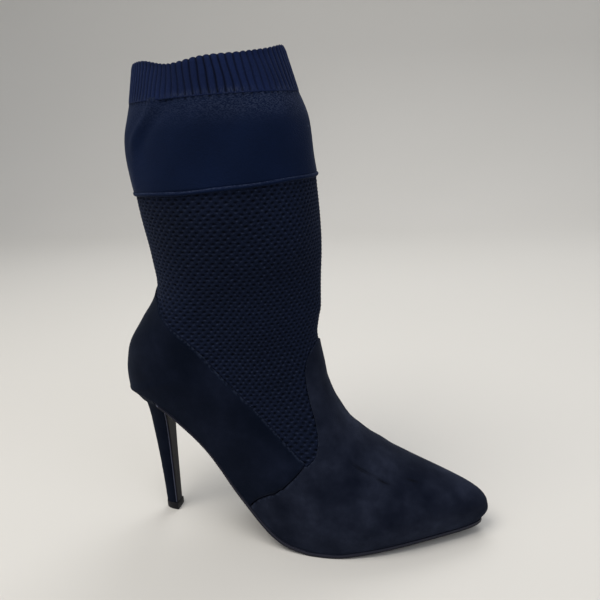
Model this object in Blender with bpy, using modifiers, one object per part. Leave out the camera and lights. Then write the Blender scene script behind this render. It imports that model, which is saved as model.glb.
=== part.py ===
"""Sock boot, the right one of a pair, standing on its outsole and its heel's top lift.

X runs from heel to toe, Y to the wearer's left, Z up, in metres. The boot's body is one
surface. Sections turn like a fan from upright at the toe to level at the rim, and each
piece of the upper is a part of that surface.
"""
import bmesh
import bpy
import numpy as np

NAME = "sock_boot"

# Driving dimensions of the last and the shaft
LENGTH = 0.245
BALL_WIDTH = 0.080
HEEL_RISE = 0.0988
TOE_SPRING = 0.0074
INSTEP_HEIGHT = 0.1566
SHAFT_HEIGHT = 0.3145
SHAFT_DEPTH = 0.1150
SHAFT_WIDTH = 0.0895
RIM_WAVE = 0.0055

# Thicknesses and fits
FIT = 0.0003
OVERLAY_FIT = 0.0005
SOLE_FIT = 0.0005
WALL = 0.0016
SUEDE = 0.0010
SOLE_THICKNESS = 0.0026
FLAP_THICKNESS = 0.0014
SOLE_EDGE = 0.0007
SOLE_BEVEL = 0.0008
INSOLE_THICKNESS = 0.0018
HEM_RADIUS = 0.0012

# The knit draws in under the suede's nose by this much, over this many stations
NOSE_TUCK = 0.0020
NOSE_REACH = 3

# Stations left free between the insole and the rear, and the narrowest insole
INSOLE_END = 1.2
INSOLE_TIP = 0.0160

# Share of the heel's rise by which the outsole is down to the flap's thickness
THIN_RISE = 0.5

# Heel, its breast and its top lift
LIFT_HEIGHT = 0.0055
LIFT_EDGE = 0.0004
HEEL_WIDTH = 0.0505
HEEL_FOOT_FRONT = 0.0225
BREAST_RADIUS = 0.0022
BREAST_STATION = 13.50

# Sections of the foot from the toe back. along and crown_along are shares of LENGTH,
# sole and body half widths are shares of BALL_WIDTH, heel and toe are shares of HEEL_RISE
# and TOE_SPRING, crown is a share of INSTEP_HEIGHT, level is the widest point's share of
# the way from sole to crown, and square is the bend of the section's lower half.
FOOT_SECTIONS = (
    # along, sole_out, sole_in, heel, toe, crown_along, crown, body_out, body_in, level, square
    (0.982, -0.072, 0.072, 0.000, 0.88, 1.000, 0.122, -0.072, 0.072, 0.50, 1.00),
    (0.975, -0.012, 0.134, 0.000, 0.87, 0.995, 0.151, -0.008, 0.140, 0.50, 1.00),
    (0.956, 0.046, 0.193, 0.000, 0.84, 0.979, 0.180, 0.052, 0.203, 0.50, 1.00),
    (0.923, 0.114, 0.266, 0.000, 0.79, 0.946, 0.209, 0.130, 0.279, 0.45, 1.00),
    (0.873, 0.202, 0.344, 0.000, 0.73, 0.893, 0.243, 0.231, 0.366, 0.40, 1.00),
    (0.811, 0.303, 0.412, 0.000, 0.62, 0.833, 0.283, 0.342, 0.442, 0.36, 1.00),
    (0.744, 0.398, 0.460, 0.000, 0.46, 0.772, 0.332, 0.440, 0.494, 0.32, 1.00),
    (0.674, 0.469, 0.475, 0.000, 0.23, 0.715, 0.396, 0.505, 0.509, 0.28, 1.00),
    (0.603, 0.506, 0.455, -0.002, 0.00, 0.660, 0.467, 0.533, 0.491, 0.26, 1.00),
    (0.529, 0.500, 0.402, 0.004, 0.00, 0.618, 0.548, 0.520, 0.454, 0.27, 1.00),
    (0.446, 0.458, 0.342, 0.072, 0.00, 0.593, 0.629, 0.486, 0.418, 0.32, 1.00),
    (0.350, 0.396, 0.291, 0.326, 0.00, 0.578, 0.704, 0.449, 0.406, 0.38, 1.00),
    (0.259, 0.350, 0.294, 0.634, 0.00, 0.570, 0.773, 0.432, 0.418, 0.42, 0.95),
    (0.168, 0.326, 0.314, 0.846, 0.00, 0.563, 0.838, 0.425, 0.424, 0.43, 0.92),
    (0.085, 0.300, 0.300, 0.981, 0.00, 0.560, 0.896, 0.420, 0.424, 0.44, 0.92),
    (0.026, 0.199, 0.199, 1.000, 0.00, 0.566, 0.953, 0.420, 0.424, 0.46, 0.94),
)

# Sections of the heel's back and the shaft, going up. front is a share of LENGTH, depth of
# SHAFT_DEPTH and width of SHAFT_WIDTH. back and rise are shares of the way up to the rim
# from the heel's seat and from the instep.
SHAFT_SECTIONS = (
    # front, depth, back, rise, width, level, square
    (0.573, 1.215, 0.000, 0.000, 0.377, 0.48, 0.95),
    (0.575, 1.227, 0.017, 0.052, 0.386, 0.50, 0.94),
    (0.577, 1.225, 0.080, 0.103, 0.392, 0.50, 0.94),
    (0.580, 1.189, 0.151, 0.160, 0.398, 0.50, 0.95),
    (0.583, 1.099, 0.228, 0.219, 0.415, 0.50, 1.00),
    (0.584, 0.990, 0.319, 0.283, 0.443, 0.50, 1.00),
    (0.583, 0.991, 0.429, 0.360, 0.477, 0.50, 1.00),
    (0.580, 1.015, 0.558, 0.463, 0.500, 0.50, 1.00),
    (0.573, 1.016, 0.673, 0.592, 0.500, 0.50, 1.00),
    (0.565, 1.004, 0.787, 0.733, 0.483, 0.50, 1.00),
    (0.541, 0.910, 0.877, 0.843, 0.449, 0.50, 1.00),
    (0.509, 0.790, 0.975, 1.000, 0.432, 0.50, 1.00),
)
REAR = len(FOOT_SECTIONS)
RIM = REAR + len(SHAFT_SECTIONS) - 1

# How many stations ahead of the rear the sections take to open fully at the sole
OPEN_REACH = 2

# Depth of the slack rim's waves, as shares of RIM_WAVE at even steps round the rim
RIM_DIPS = (0.08, 0.04, 0.16, 0.95, 0.69, 0.68, 0.44, 0.00, 0.27, 0.55, 0.82, 0.65, 0.25, 0.16)

# Edges of the suede, as a section station and a share of the way round from the sole
QUARTER_EDGE = (
    # station, around
    (9.95, 0.322),
    (11.10, 0.299),
    (12.10, 0.279),
    (13.30, 0.271),
    (14.60, 0.268),
    (16.00, 0.260),
    (17.40, 0.242),
    (18.40, 0.221),
    (19.40, 0.184),
    (20.30, 0.134),
    (20.60, 0.112),
    (20.85, 0.078),
    (21.05, 0.038),
    (21.25, 0.000),
)
SEAM_FOOT = 10.75
SEAM_BEND = 1.8
SEAM_GAP = 0.012

# How fast the seam's slant leaves the quarter's rows toward the heel
LEAN_FADE = 4
TONGUE_EDGE = (
    # around, station
    (0.320, 9.86),
    (0.350, 9.62),
    (0.375, 9.80),
    (0.391, 10.30),
    (0.398, 11.30),
    (0.408, 12.20),
    (0.432, 12.95),
    (0.466, 13.30),
    (0.500, 13.50),
)

# Stations of the cuff's rolled hem and of the ribbed band's lower edge
HEM_STATION = 23.55
BAND_STATION = 26.0

# Sections of the heel from its seat down: heights are shares of the way from top lift to
# seat at front and back, back is the share of SEAT_REACH cut away behind, and width is
# a share of HEEL_WIDTH.
HEEL_SECTIONS = (
    # front, rear, back, width
    (0.903, 0.940, 0.240, 0.760),
    (0.855, 0.872, 0.325, 0.460),
    (0.738, 0.760, 0.390, 0.310),
    (0.588, 0.615, 0.435, 0.250),
    (0.425, 0.437, 0.485, 0.222),
    (0.209, 0.209, 0.530, 0.198),
    (0.000, 0.000, 0.550, 0.178),
)
SEAT_REACH = 0.0262

# Facets: the stations where the step between the body's rows changes, with that step
ROW_STEPS = (
    # first station, step
    (0, 0.34),
    (2, 0.50),
    (4, 0.68),
    (14, 0.34),
    (17, 0.60),
    (20, 0.25),
    (21.5, 0.50),
    (22, 1.00),
    (25, 0.50),
)
BODY_COLUMNS = 26
COLUMN_CROWDING = 0.55
ARC_STEPS = 6
FLAP_STEPS = 5
HEEL_POINTS = 19
CURVE_SAMPLES = 400

# Rows and columns nearer than this to a piece's edge are left out of its facets
NEAR_ROW = 0.2
NEAR_COLUMN = 0.01
MERGE = 0.00001
SHARP_ANGLE = 35

# Colours as linear RGB, then roughness
KNIT_FINISH = ((0.010, 0.011, 0.017), 0.85)
SUEDE_FINISH = ((0.007, 0.008, 0.012), 0.95)
SOLE_FINISH = ((0.010, 0.010, 0.011), 0.45)
LIFT_FINISH = ((0.012, 0.012, 0.012), 0.55)
INSOLE_FINISH = ((0.020, 0.019, 0.020), 0.60)


def smooth(rows, at, before=None, after=None):
    """Read a table at the stations in at, on a Catmull-Rom curve through its rows.

    before and after are the rows past the two ends, which set the slopes there.
    """
    rows = np.asarray(rows, dtype=float)
    before = 2 * rows[0] - rows[1] if before is None else before
    after = 2 * rows[-1] - rows[-2] if after is None else after
    padded = np.vstack([before, rows, after])
    slopes = (padded[2:] - padded[:-2]) / 2
    low = np.clip(np.floor(at).astype(int), 0, len(rows) - 2)
    t = (at - low)[..., None]
    start, end = rows[low], rows[low + 1]
    return (
        start * (2 * t**3 - 3 * t**2 + 1)
        + slopes[low] * (t**3 - 2 * t**2 + t)
        + end * (3 * t**2 - 2 * t**3)
        + slopes[low + 1] * (t**3 - t**2)
    )


def feather_height():
    """Height of the upper's lower edge over the floor, where the forefoot lies flat."""
    return SOLE_THICKNESS + SOLE_FIT


def seat_height():
    """Height of the upper's lower edge at the back of the heel."""
    return feather_height() + HEEL_RISE


def foot_edges():
    """Rows of the feather edge: along, outer y, inner y, height."""
    along, sole_out, sole_in, heel, toe = np.array(FOOT_SECTIONS).T[:5]
    height = feather_height() + HEEL_RISE * heel + TOE_SPRING * toe
    foot = np.column_stack([LENGTH * along, -BALL_WIDTH * sole_out, BALL_WIDTH * sole_in, height])
    front, depth = SHAFT_SECTIONS[0][:2]
    rear = [LENGTH * front - SHAFT_DEPTH * depth, 0.0, 0.0, seat_height()]
    return np.vstack([foot, rear])


def feather(station):
    """The feather edge at stations up to the rear, as columns along, outer, inner, height."""
    rows = foot_edges()
    past_toe = rows[1][[0, 2, 1, 3]]
    past_heel = rows[-2][[0, 2, 1, 3]]
    edge = smooth(rows, np.minimum(station, REAR), past_toe, past_heel)
    edge[..., 3] = np.maximum(edge[..., 3], feather_height())
    return edge


def back_line(station):
    """The shaft's centre line at the back, as columns along, outer, inner, height."""
    front, depth, back = np.array(SHAFT_SECTIONS).T[:3]
    along = LENGTH * front - SHAFT_DEPTH * depth
    height = seat_height() + (SHAFT_HEIGHT - seat_height()) * back
    rows = np.column_stack([along, 0 * along, 0 * along, height])
    return smooth(rows, np.clip(station - REAR, 0, RIM - REAR))


def crown_values(station):
    """Columns crown along, crown height, outer y, inner y, level and square."""
    foot = np.array(FOOT_SECTIONS)[:, 5:] * (LENGTH, INSTEP_HEIGHT, -BALL_WIDTH, BALL_WIDTH, 1, 1)
    front, _, _, rise, width, level, square = np.array(SHAFT_SECTIONS).T
    height = INSTEP_HEIGHT + (SHAFT_HEIGHT - INSTEP_HEIGHT) * rise
    half = SHAFT_WIDTH * width
    shaft = np.column_stack([LENGTH * front, height, -half, half, level, square])
    return smooth(np.vstack([foot, shaft]), station)


def rim_drop(around):
    """How far the slack rim sinks at a share of the way round."""
    dips = np.array(RIM_DIPS)[:, None]
    steps = (around % 1) * len(RIM_DIPS)
    ring = np.vstack([dips, dips[:1]])
    return RIM_WAVE * smooth(ring, steps, dips[-1], dips[1])[..., 0]


def body(station, around):
    """Points on the boot's surface at section stations and shares of the way round.

    Each section is a pair of curved sides from the sole, or from the back's centre line,
    over the widest point to the crown. It stands in a plane that turns with the fan.
    """
    station, around = np.broadcast_arrays(np.asarray(station, float), np.asarray(around, float))
    at_foot = (station < REAR)[..., None]
    base = np.where(at_foot, feather(station), back_line(station))
    crown = crown_values(station)
    outer = around < 0.5
    foot_y = np.where(outer, base[..., 1], base[..., 2])
    wide_y = np.where(outer, crown[..., 2], crown[..., 3])
    middle_y = (crown[..., 2] + crown[..., 3]) / 2
    level, square = crown[..., 4], crown[..., 5]
    way = 1 - np.abs(2 * around - 1)
    low = np.clip(way, 0, 0.5) * np.pi
    high = (np.clip(way, 0.5, 1) - 0.5) * np.pi
    opening = np.clip((REAR - station) / OPEN_REACH, 0, 1)
    bend = opening * low * 2 / np.pi + (1 - opening) * (1 - np.cos(low) ** square)
    low_y = foot_y + (wide_y - foot_y) * np.sin(low) ** square
    high_y = middle_y + (wide_y - middle_y) * np.cos(high)
    y = np.where(way < 0.5, low_y, high_y)
    share = np.where(way < 0.5, level * bend, level + (1 - level) * np.sin(high))
    x = base[..., 0] + (crown[..., 0] - base[..., 0]) * share
    z = base[..., 3] + (crown[..., 1] - base[..., 3]) * share
    sink = np.clip(station - RIM + 1, 0, 1) ** 2
    z = z - rim_drop(around) * sink
    return np.stack([x - LENGTH / 2, y, z], axis=-1)


def body_rows():
    """Stations of the body's rows, closer where it curves most."""
    firsts = [first for first, _ in ROW_STEPS] + [RIM]
    rows = [
        np.linspace(first, last, int(round((last - first) / step)), endpoint=False)
        for (first, step), last in zip(ROW_STEPS, firsts[1:])
    ]
    return np.concatenate(rows + [[RIM]])


def body_columns():
    """Shares of the way round of the body's columns, closer at the back and the crown."""
    even = np.linspace(0, 1, BODY_COLUMNS + 1)
    return even - COLUMN_CROWDING * np.sin(4 * np.pi * even) / (4 * np.pi)


def seam_station(around):
    """Station of the seam between vamp and quarter, at a share of the way round."""
    tip_station, tip_around = QUARTER_EDGE[0]
    return SEAM_FOOT + (tip_station - SEAM_FOOT) * (around / tip_around) ** SEAM_BEND


def quarter_around(station):
    """How far round the quarter reaches at a station, up to the point of its tab."""
    rows = np.array(QUARTER_EDGE)
    curve = smooth(rows, np.linspace(0, len(rows) - 1, CURVE_SAMPLES))
    return np.interp(station, curve[:, 0], curve[:, 1])


def new_object(name, mesh, finish):
    """Link a mesh as a smooth object of the boot with its own material."""
    colour, roughness = finish
    material = bpy.data.materials.new(name)
    material.use_nodes = True
    shader = material.node_tree.nodes["Principled BSDF"]
    shader.inputs["Base Color"].default_value = (*colour, 1)
    shader.inputs["Roughness"].default_value = roughness
    shader.inputs["Metallic"].default_value = 0
    mesh.materials.append(material)
    mesh.shade_smooth()
    mesh.set_sharp_from_angle(angle=np.radians(SHARP_ANGLE))
    piece = bpy.data.objects.new(name, mesh)
    bpy.data.collections[NAME].objects.link(piece)
    return piece


def mesh_from(name, points, faces):
    """A mesh of the points and faces, with its doubled points merged.

    Where a folded row ends, a point is left on the fold with only two edges, and goes.
    """
    mesh = bpy.data.meshes.new(name)
    mesh.from_pydata(points.reshape(-1, 3).tolist(), [], faces)
    shape = bmesh.new()
    shape.from_mesh(mesh)
    bmesh.ops.remove_doubles(shape, verts=shape.verts, dist=MERGE)
    lone = [v for v in shape.verts if len(v.link_edges) == 2 and not v.is_boundary]
    bmesh.ops.dissolve_verts(shape, verts=lone)
    shape.to_mesh(mesh)
    shape.free()
    return mesh


def sheet_faces(rows, columns, first=0):
    """Quads over a grid of rows and columns of points."""
    return [
        (
            first + r * columns + c,
            first + r * columns + c + 1,
            first + (r + 1) * columns + c + 1,
            first + (r + 1) * columns + c,
        )
        for r in range(rows - 1)
        for c in range(columns - 1)
    ]


def sheet_mesh(name, *grids):
    """One mesh of several grids of points that share their meeting edges."""
    faces = []
    first = 0
    for grid in grids:
        faces += sheet_faces(grid.shape[0], grid.shape[1], first)
        first += grid.shape[0] * grid.shape[1]
    points = np.vstack([grid.reshape(-1, 3) for grid in grids])
    return mesh_from(name, points, faces)


def shell(piece, depth, thickness):
    """Move a sheet in by a depth and give it a wall on its inner side."""
    if depth:
        move = piece.modifiers.new("depth", "DISPLACE")
        move.mid_level = 0
        move.strength = -depth
    wall = piece.modifiers.new("wall", "SOLIDIFY")
    wall.thickness = thickness
    wall.offset = -1


def loft_mesh(name, rings):
    """A closed solid through a stack of rings of points, capped at both ends."""
    count, size = rings.shape[:2]
    faces = []
    for r in range(count - 1):
        for c in range(size):
            nxt = (c + 1) % size
            faces.append((r * size + c, r * size + nxt, (r + 1) * size + nxt, (r + 1) * size + c))
    for r, order in ((0, -1), (count - 1, 1)):
        for c in range(size // 2 - 1):
            cap = (c, c + 1, size - 2 - c, size - 1 - c)
            faces.append(tuple(r * size + i for i in cap[::order]))
    if size % 2:
        middle = size // 2
        for r, order in ((0, -1), (count - 1, 1)):
            cap = (middle - 1, middle, middle + 1)
            faces.append(tuple(r * size + i for i in cap[::order]))
    mesh = mesh_from(name, rings, faces)
    shape = bmesh.new()
    shape.from_mesh(mesh)
    bmesh.ops.dissolve_degenerate(shape, dist=0.000001, edges=shape.edges)
    bmesh.ops.recalc_face_normals(shape, faces=shape.faces)
    shape.to_mesh(mesh)
    shape.free()
    return mesh


def make_upper():
    """The knitted sock: one hollow shell from the feather edge to just under the rim."""
    grid = body(body_rows()[:, None], body_columns()[None, :])
    grid[-1, :, 2] -= 2 * FIT
    nose = np.clip(1 - body_rows() / NOSE_REACH, 0, 1)
    grid[..., 0] -= NOSE_TUCK * nose[:, None]
    upper = new_object("upper", sheet_mesh("upper", grid), KNIT_FINISH)
    shell(upper, SUEDE + OVERLAY_FIT, WALL)


def make_vamp():
    """The suede vamp: toe, sides and the tongue that rises to a point at the front."""
    tongue = np.array(TONGUE_EDGE)
    columns = body_columns()
    side = columns[columns < tongue[0][0] - NEAR_COLUMN]
    around = np.concatenate([side, tongue[:, 0]])
    edge = np.concatenate([seam_station(side) - SEAM_GAP, tongue[:, 1]])
    around = np.concatenate([around, 1 - around[-2::-1]])
    edge = np.concatenate([edge, edge[-2::-1]])
    rows = body_rows()
    rows = np.append(rows[rows < SEAM_FOOT - NEAR_ROW], SEAM_FOOT)[:, None] / SEAM_FOOT
    grid = body(rows * edge[None, :], around[None, :])
    vamp = new_object("vamp", sheet_mesh("vamp", grid), SUEDE_FINISH)
    shell(vamp, 0, SUEDE)


def make_quarter():
    """The suede quarter: both sides and the heel, rising to a tab at the centre back."""
    tab = QUARTER_EDGE[-1][0]
    rows = body_rows()
    rows = rows[(rows > SEAM_FOOT + NEAR_ROW) & (rows < tab - NEAR_ROW)]
    rows = np.concatenate([[SEAM_FOOT], rows, [tab]])[:, None]
    share = (rows - SEAM_FOOT) / (tab - SEAM_FOOT)
    lean = (SEAM_FOOT - QUARTER_EDGE[0][0]) * (1 - share) ** LEAN_FADE
    around_end = quarter_around(rows - lean)
    columns = body_columns()
    columns = np.append(columns[columns < around_end.max() - 2 * NEAR_COLUMN], 0.5)[None, :]
    around = np.where(columns < around_end - NEAR_COLUMN, columns, around_end)
    up = around / np.maximum(around_end, NEAR_COLUMN)
    station = rows - lean * up**SEAM_BEND + SEAM_GAP * (1 - share)
    outer = body(station, around)
    inner = body(station, 1 - around)
    quarter = new_object("quarter", sheet_mesh("quarter", outer, inner[:, ::-1]), SUEDE_FINISH)
    shell(quarter, 0, SUEDE)


def make_band(name, first, last):
    """A band of the shaft between two stations, right round."""
    rows = body_rows()
    rows = rows[(rows > first + NEAR_ROW) & (rows < last - NEAR_ROW)]
    rows = np.concatenate([[first], rows, [last]])
    grid = body(rows[:, None], body_columns()[None, :])
    band = new_object(name, sheet_mesh(name, grid), KNIT_FINISH)
    shell(band, 0, SUEDE)


def station_step(station):
    """How far apart the shaft's sections lie at a station, at the front."""
    near = crown_values(np.array([station - 0.5, station + 0.5]))
    return near[1][1] - near[0][1]


def make_hem():
    """The rolled hem at the cuff's lower edge, a round cord right round the shaft."""
    around = body_columns()[:-1]
    middle = body(HEM_STATION, around)
    outward = middle - middle.mean(axis=0)
    outward[:, 2] = 0
    outward /= np.linalg.norm(outward, axis=1)[:, None]
    centre = middle + outward * (HEM_RADIUS - SUEDE)
    curve = bpy.data.curves.new("hem_guide", "CURVE")
    curve.dimensions = "3D"
    curve.bevel_depth = HEM_RADIUS
    curve.bevel_resolution = 1
    line = curve.splines.new("POLY")
    line.points.add(len(centre) - 1)
    for point, place in zip(line.points, centre):
        point.co = (*place, 1)
    line.use_cyclic_u = True
    guide = bpy.data.objects.new("hem_guide", curve)
    bpy.data.collections[NAME].objects.link(guide)
    seen = guide.evaluated_get(bpy.context.evaluated_depsgraph_get())
    mesh = bpy.data.meshes.new_from_object(seen)
    mesh.name = "hem"
    bpy.data.objects.remove(guide)
    new_object("hem", mesh, KNIT_FINISH)


def sole_height(along):
    """Height of the feather edge at distances along the sole."""
    edge = feather(np.linspace(0, REAR, CURVE_SAMPLES))[::-1]
    return np.interp(along, edge[:, 0], edge[:, 3])


def outline(station, grow):
    """Outer and inner points of the feather outline at stations, moved out by grow."""
    edge = feather(station)
    both = np.vstack([edge[::-1, [0, 1]], edge[1:, [0, 2]]])
    slope = np.gradient(both, axis=0)
    normal = np.column_stack([slope[:, 1], -slope[:, 0]])
    normal /= np.linalg.norm(normal, axis=1)[:, None]
    both = both + grow * normal
    both = np.column_stack([both, sole_height(both[:, 0])])
    count = len(edge)
    return both[:count][::-1], both[count - 1:]


def breast_arc():
    """Centre and start angle of the arc that turns the sole down the heel's breast."""
    edge = feather(np.array([BREAST_STATION - 0.05, BREAST_STATION, BREAST_STATION + 0.05]))
    heading = edge[2] - edge[0]
    lean = np.arctan2(heading[3], heading[0])
    radius = BREAST_RADIUS + FLAP_THICKNESS
    start = edge[1][[0, 3]] - (0, SOLE_FIT)
    centre = start + radius * np.array([-np.sin(lean), np.cos(lean)])
    return centre, lean, radius


def sole_stations():
    """Stations of the outsole's rows, from the toe to where it leaves the shank."""
    rows = body_rows()
    return np.append(rows[rows < BREAST_STATION - NEAR_ROW], BREAST_STATION)


def flap_rows():
    """Rows of the breast flap: inner point, outward normal and half width."""
    centre, lean, radius = breast_arc()
    turn = np.linspace(lean, 1.5 * np.pi, ARC_STEPS + 1)[1:]
    inner = centre + radius * np.column_stack([np.sin(turn), -np.cos(turn)])
    normal = -np.column_stack([np.sin(turn), -np.cos(turn)])
    foot = np.array([HEEL_FOOT_FRONT + FIT, LIFT_HEIGHT + FIT])
    way = np.linspace(0, 1, FLAP_STEPS + 1)[1:, None]
    drop = inner[-1] + (foot - inner[-1]) * way
    inner = np.vstack([inner, drop])
    normal = np.vstack([normal, np.repeat(normal[-1:], FLAP_STEPS, axis=0)])
    return inner, normal


def heel_front(height):
    """Where the heel's front face stands at a height, behind the flap."""
    centre, _, radius = breast_arc()
    reach = radius + SOLE_FIT
    rise = np.clip(height - centre[1], 0, reach)
    arc = centre[0] - np.sqrt(reach**2 - rise**2)
    share = np.clip((centre[1] - height) / (centre[1] - LIFT_HEIGHT), 0, 1)
    top = centre[0] - reach
    return arc + share * (HEEL_FOOT_FRONT - top)


def heel_half_width(height):
    """Half width of the heel's front face at a height."""
    low, high = LIFT_HEIGHT + FIT, seat_height() - SOLE_FIT
    table = np.array(HEEL_SECTIONS)[::-1]
    share = (height - low) / (high - low)
    return HEEL_WIDTH / 2 * np.interp(share, table[:, 0], table[:, 3])


def sole_ring(outer, inner, down, depth):
    """Six points round the outsole at one place, with its lower edges bevelled."""
    bevel = min(SOLE_BEVEL, (inner[1] - outer[1]) / 2)
    outer, inner = np.array(outer), np.array(inner)
    drop = np.array([down[0], 0, down[1]])
    tuck = np.array([0, bevel, 0])
    side = drop * (depth - SOLE_BEVEL)
    ring = [outer, inner, inner + side, inner - tuck + drop * depth, outer + tuck + drop * depth]
    return ring + [outer + side]


def make_outsole():
    """The thin outsole, from the toe over the shank and down the heel's breast."""
    outer, inner = outline(sole_stations(), SOLE_EDGE)
    middle = (outer + inner) / 2
    slope = np.gradient(middle[:, [0, 2]], axis=0)
    slope[middle[:, 2] < feather_height() + FIT] = (-1, 0)
    slope /= np.linalg.norm(slope, axis=1)[:, None]
    rise = (middle[:, 2] - feather_height()) / HEEL_RISE
    depth = np.interp(rise, [0, THIN_RISE], [SOLE_THICKNESS, FLAP_THICKNESS])
    rings = []
    for i, (dx, dz) in enumerate(slope):
        lower = (0, 0, SOLE_FIT)
        rings.append(sole_ring(outer[i] - lower, inner[i] - lower, (-dz, dx), depth[i]))
    for (x, z), down in zip(*flap_rows()):
        half = heel_half_width(z) - FIT
        rings.append(sole_ring((x, -half, z), (x, half, z), down, FLAP_THICKNESS))
    rings = np.array(rings) - (LENGTH / 2, 0, 0)
    rings[: len(outer), :, 2] = np.maximum(rings[: len(outer), :, 2], 0)
    new_object("outsole", loft_mesh("outsole", rings), SOLE_FINISH)


def make_insole():
    """The insole board and its lining, inside the upper's lower edge."""
    inset = SUEDE + OVERLAY_FIT + WALL + 2 * FIT
    rows = body_rows()
    back = rows[(rows > BREAST_STATION) & (rows < REAR - INSOLE_END)]
    outer, inner = outline(np.concatenate([sole_stations(), back]), -inset)
    wide = inner[:, 1] - outer[:, 1] > INSOLE_TIP
    outer = outer[wide] - (LENGTH / 2, 0, 0)
    inner = inner[wide] - (LENGTH / 2, 0, 0)
    top = np.array([0, 0, INSOLE_THICKNESS])
    rings = np.stack([outer, inner, inner + top, outer + top], axis=1)
    new_object("insole", loft_mesh("insole", rings), INSOLE_FINISH)


def seat_ring(angle):
    """The heel's top ring, on the feather edge under the seat."""
    stations = np.linspace(BREAST_STATION - 1, REAR, CURVE_SAMPLES)
    edge = feather(stations)[::-1]
    rear = edge[0][0]
    x = rear + (SEAT_REACH - rear) * (1 - np.cos(angle))
    outer = np.interp(x, edge[:, 0], edge[:, 1])
    inner = np.interp(x, edge[:, 0], edge[:, 2])
    height = np.interp(x, edge[:, 0], edge[:, 3]) - SOLE_FIT
    y = np.where(angle < 0, outer, inner)
    return np.column_stack([x, y, height])


def make_heel():
    """The slim heel, from the seat down to the top lift, flat where the flap lies on it."""
    angle = np.linspace(-np.pi / 2, np.pi / 2, HEEL_POINTS)
    seat = seat_ring(angle)
    low, high = LIFT_HEIGHT + FIT, seat_height() - SOLE_FIT
    rings = [seat]
    for front, rear, back, width in HEEL_SECTIONS:
        front_z = low + (high - low) * front
        rear_z = low + (high - low) * rear
        front_x = heel_front(np.array(front_z))
        rear_x = SEAT_REACH * back
        share = np.cos(angle)
        x = front_x + (rear_x - front_x) * share
        y = HEEL_WIDTH / 2 * width * np.sin(angle)
        rings.append(np.column_stack([x, y, front_z + (rear_z - front_z) * share]))
    rings = np.array(rings) - (LENGTH / 2, 0, 0)
    new_object("heel", loft_mesh("heel", rings[::-1]), SUEDE_FINISH)


def make_top_lift():
    """The top lift, a thin D under the heel and the end of the flap."""
    angle = np.linspace(-np.pi / 2, np.pi / 2, HEEL_POINTS)
    _, _, back, width = HEEL_SECTIONS[-1]
    rear_x = SEAT_REACH * back - LIFT_EDGE
    front_x = HEEL_FOOT_FRONT + FIT + FLAP_THICKNESS + LIFT_EDGE
    x = front_x + (rear_x - front_x) * np.cos(angle) - LENGTH / 2
    y = (HEEL_WIDTH / 2 * width + LIFT_EDGE) * np.sin(angle)
    rings = [np.column_stack([x, y, np.full_like(x, z)]) for z in (0, LIFT_HEIGHT)]
    new_object("top_lift", loft_mesh("top_lift", np.array(rings)), LIFT_FINISH)


def main():
    for item in list(bpy.data.objects):
        bpy.data.objects.remove(item)
    collection = bpy.data.collections.new(NAME)
    bpy.context.scene.collection.children.link(collection)
    hem_gap = (HEM_RADIUS + FIT) / station_step(HEM_STATION)
    band_gap = FIT / station_step(BAND_STATION)
    make_upper()
    make_vamp()
    make_quarter()
    make_hem()
    make_band("cuff", HEM_STATION + hem_gap, BAND_STATION)
    make_band("rib_band", BAND_STATION + band_gap, RIM)
    make_insole()
    make_outsole()
    make_heel()
    make_top_lift()


main()
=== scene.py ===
"""Looks of the sock boot: suede foot, pierced knit shaft, plain cuff and ribbed top band.

Every piece is a surface on the boot's one body, whose sections turn like a fan from the
toe to the rim. A section's station is 0 at the toe, REAR at the back of the heel and RIM at
the rim. A share of the way round goes from the outer sole edge, or the back, at 0 over the
crown at 0.5 to 1. Lengths are metres: X runs from heel to toe, Y to the wearer's left, Z up.
"""

import bmesh
import bpy
import numpy as np
from mathutils import Matrix, Vector


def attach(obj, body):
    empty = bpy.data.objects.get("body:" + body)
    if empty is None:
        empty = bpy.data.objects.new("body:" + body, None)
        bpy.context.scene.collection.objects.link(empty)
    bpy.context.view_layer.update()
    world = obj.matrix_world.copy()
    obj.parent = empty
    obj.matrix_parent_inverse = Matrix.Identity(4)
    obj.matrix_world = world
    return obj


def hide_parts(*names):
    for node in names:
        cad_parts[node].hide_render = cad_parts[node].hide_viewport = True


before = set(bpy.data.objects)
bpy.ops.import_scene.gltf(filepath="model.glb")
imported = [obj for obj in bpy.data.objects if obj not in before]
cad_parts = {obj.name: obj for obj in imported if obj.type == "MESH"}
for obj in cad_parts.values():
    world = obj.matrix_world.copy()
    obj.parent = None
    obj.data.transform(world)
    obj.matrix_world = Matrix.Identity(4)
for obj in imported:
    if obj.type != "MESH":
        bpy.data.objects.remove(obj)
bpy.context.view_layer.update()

# Driving sizes of the last and the shaft
LENGTH = 0.245
BALL_WIDTH = 0.080
HEEL_RISE = 0.0988
TOE_SPRING = 0.0074
INSTEP_HEIGHT = 0.1566
SHAFT_HEIGHT = 0.3145
SHAFT_DEPTH = 0.1150
SHAFT_WIDTH = 0.0895
RIM_WAVE = 0.0055

# Walls, and how far the knit and the lining lie inside the body, also back from its toe
WALL = 0.0010
SUEDE = 0.0010
KNIT_DEPTH = 0.0011
LINING_DEPTH = 0.0036
TOE_INSET = 0.0022
INSOLE_THICKNESS = 0.0018

# Cut edges of the suede: how far in they turn down, how deep, and where they start to fray
EDGE_WIDTH = 0.0011
EDGE_DEPTH = 0.00055
FRAY_DEPTH = 0.0004

# The vamp's scuffs, as a share of the way round, and how far its nose fills out and over
# how many stations
SCUFF_WIDTH = 0.0040
NOSE_BULGE = 0.0021
NOSE_REACH = 2.2

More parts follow.
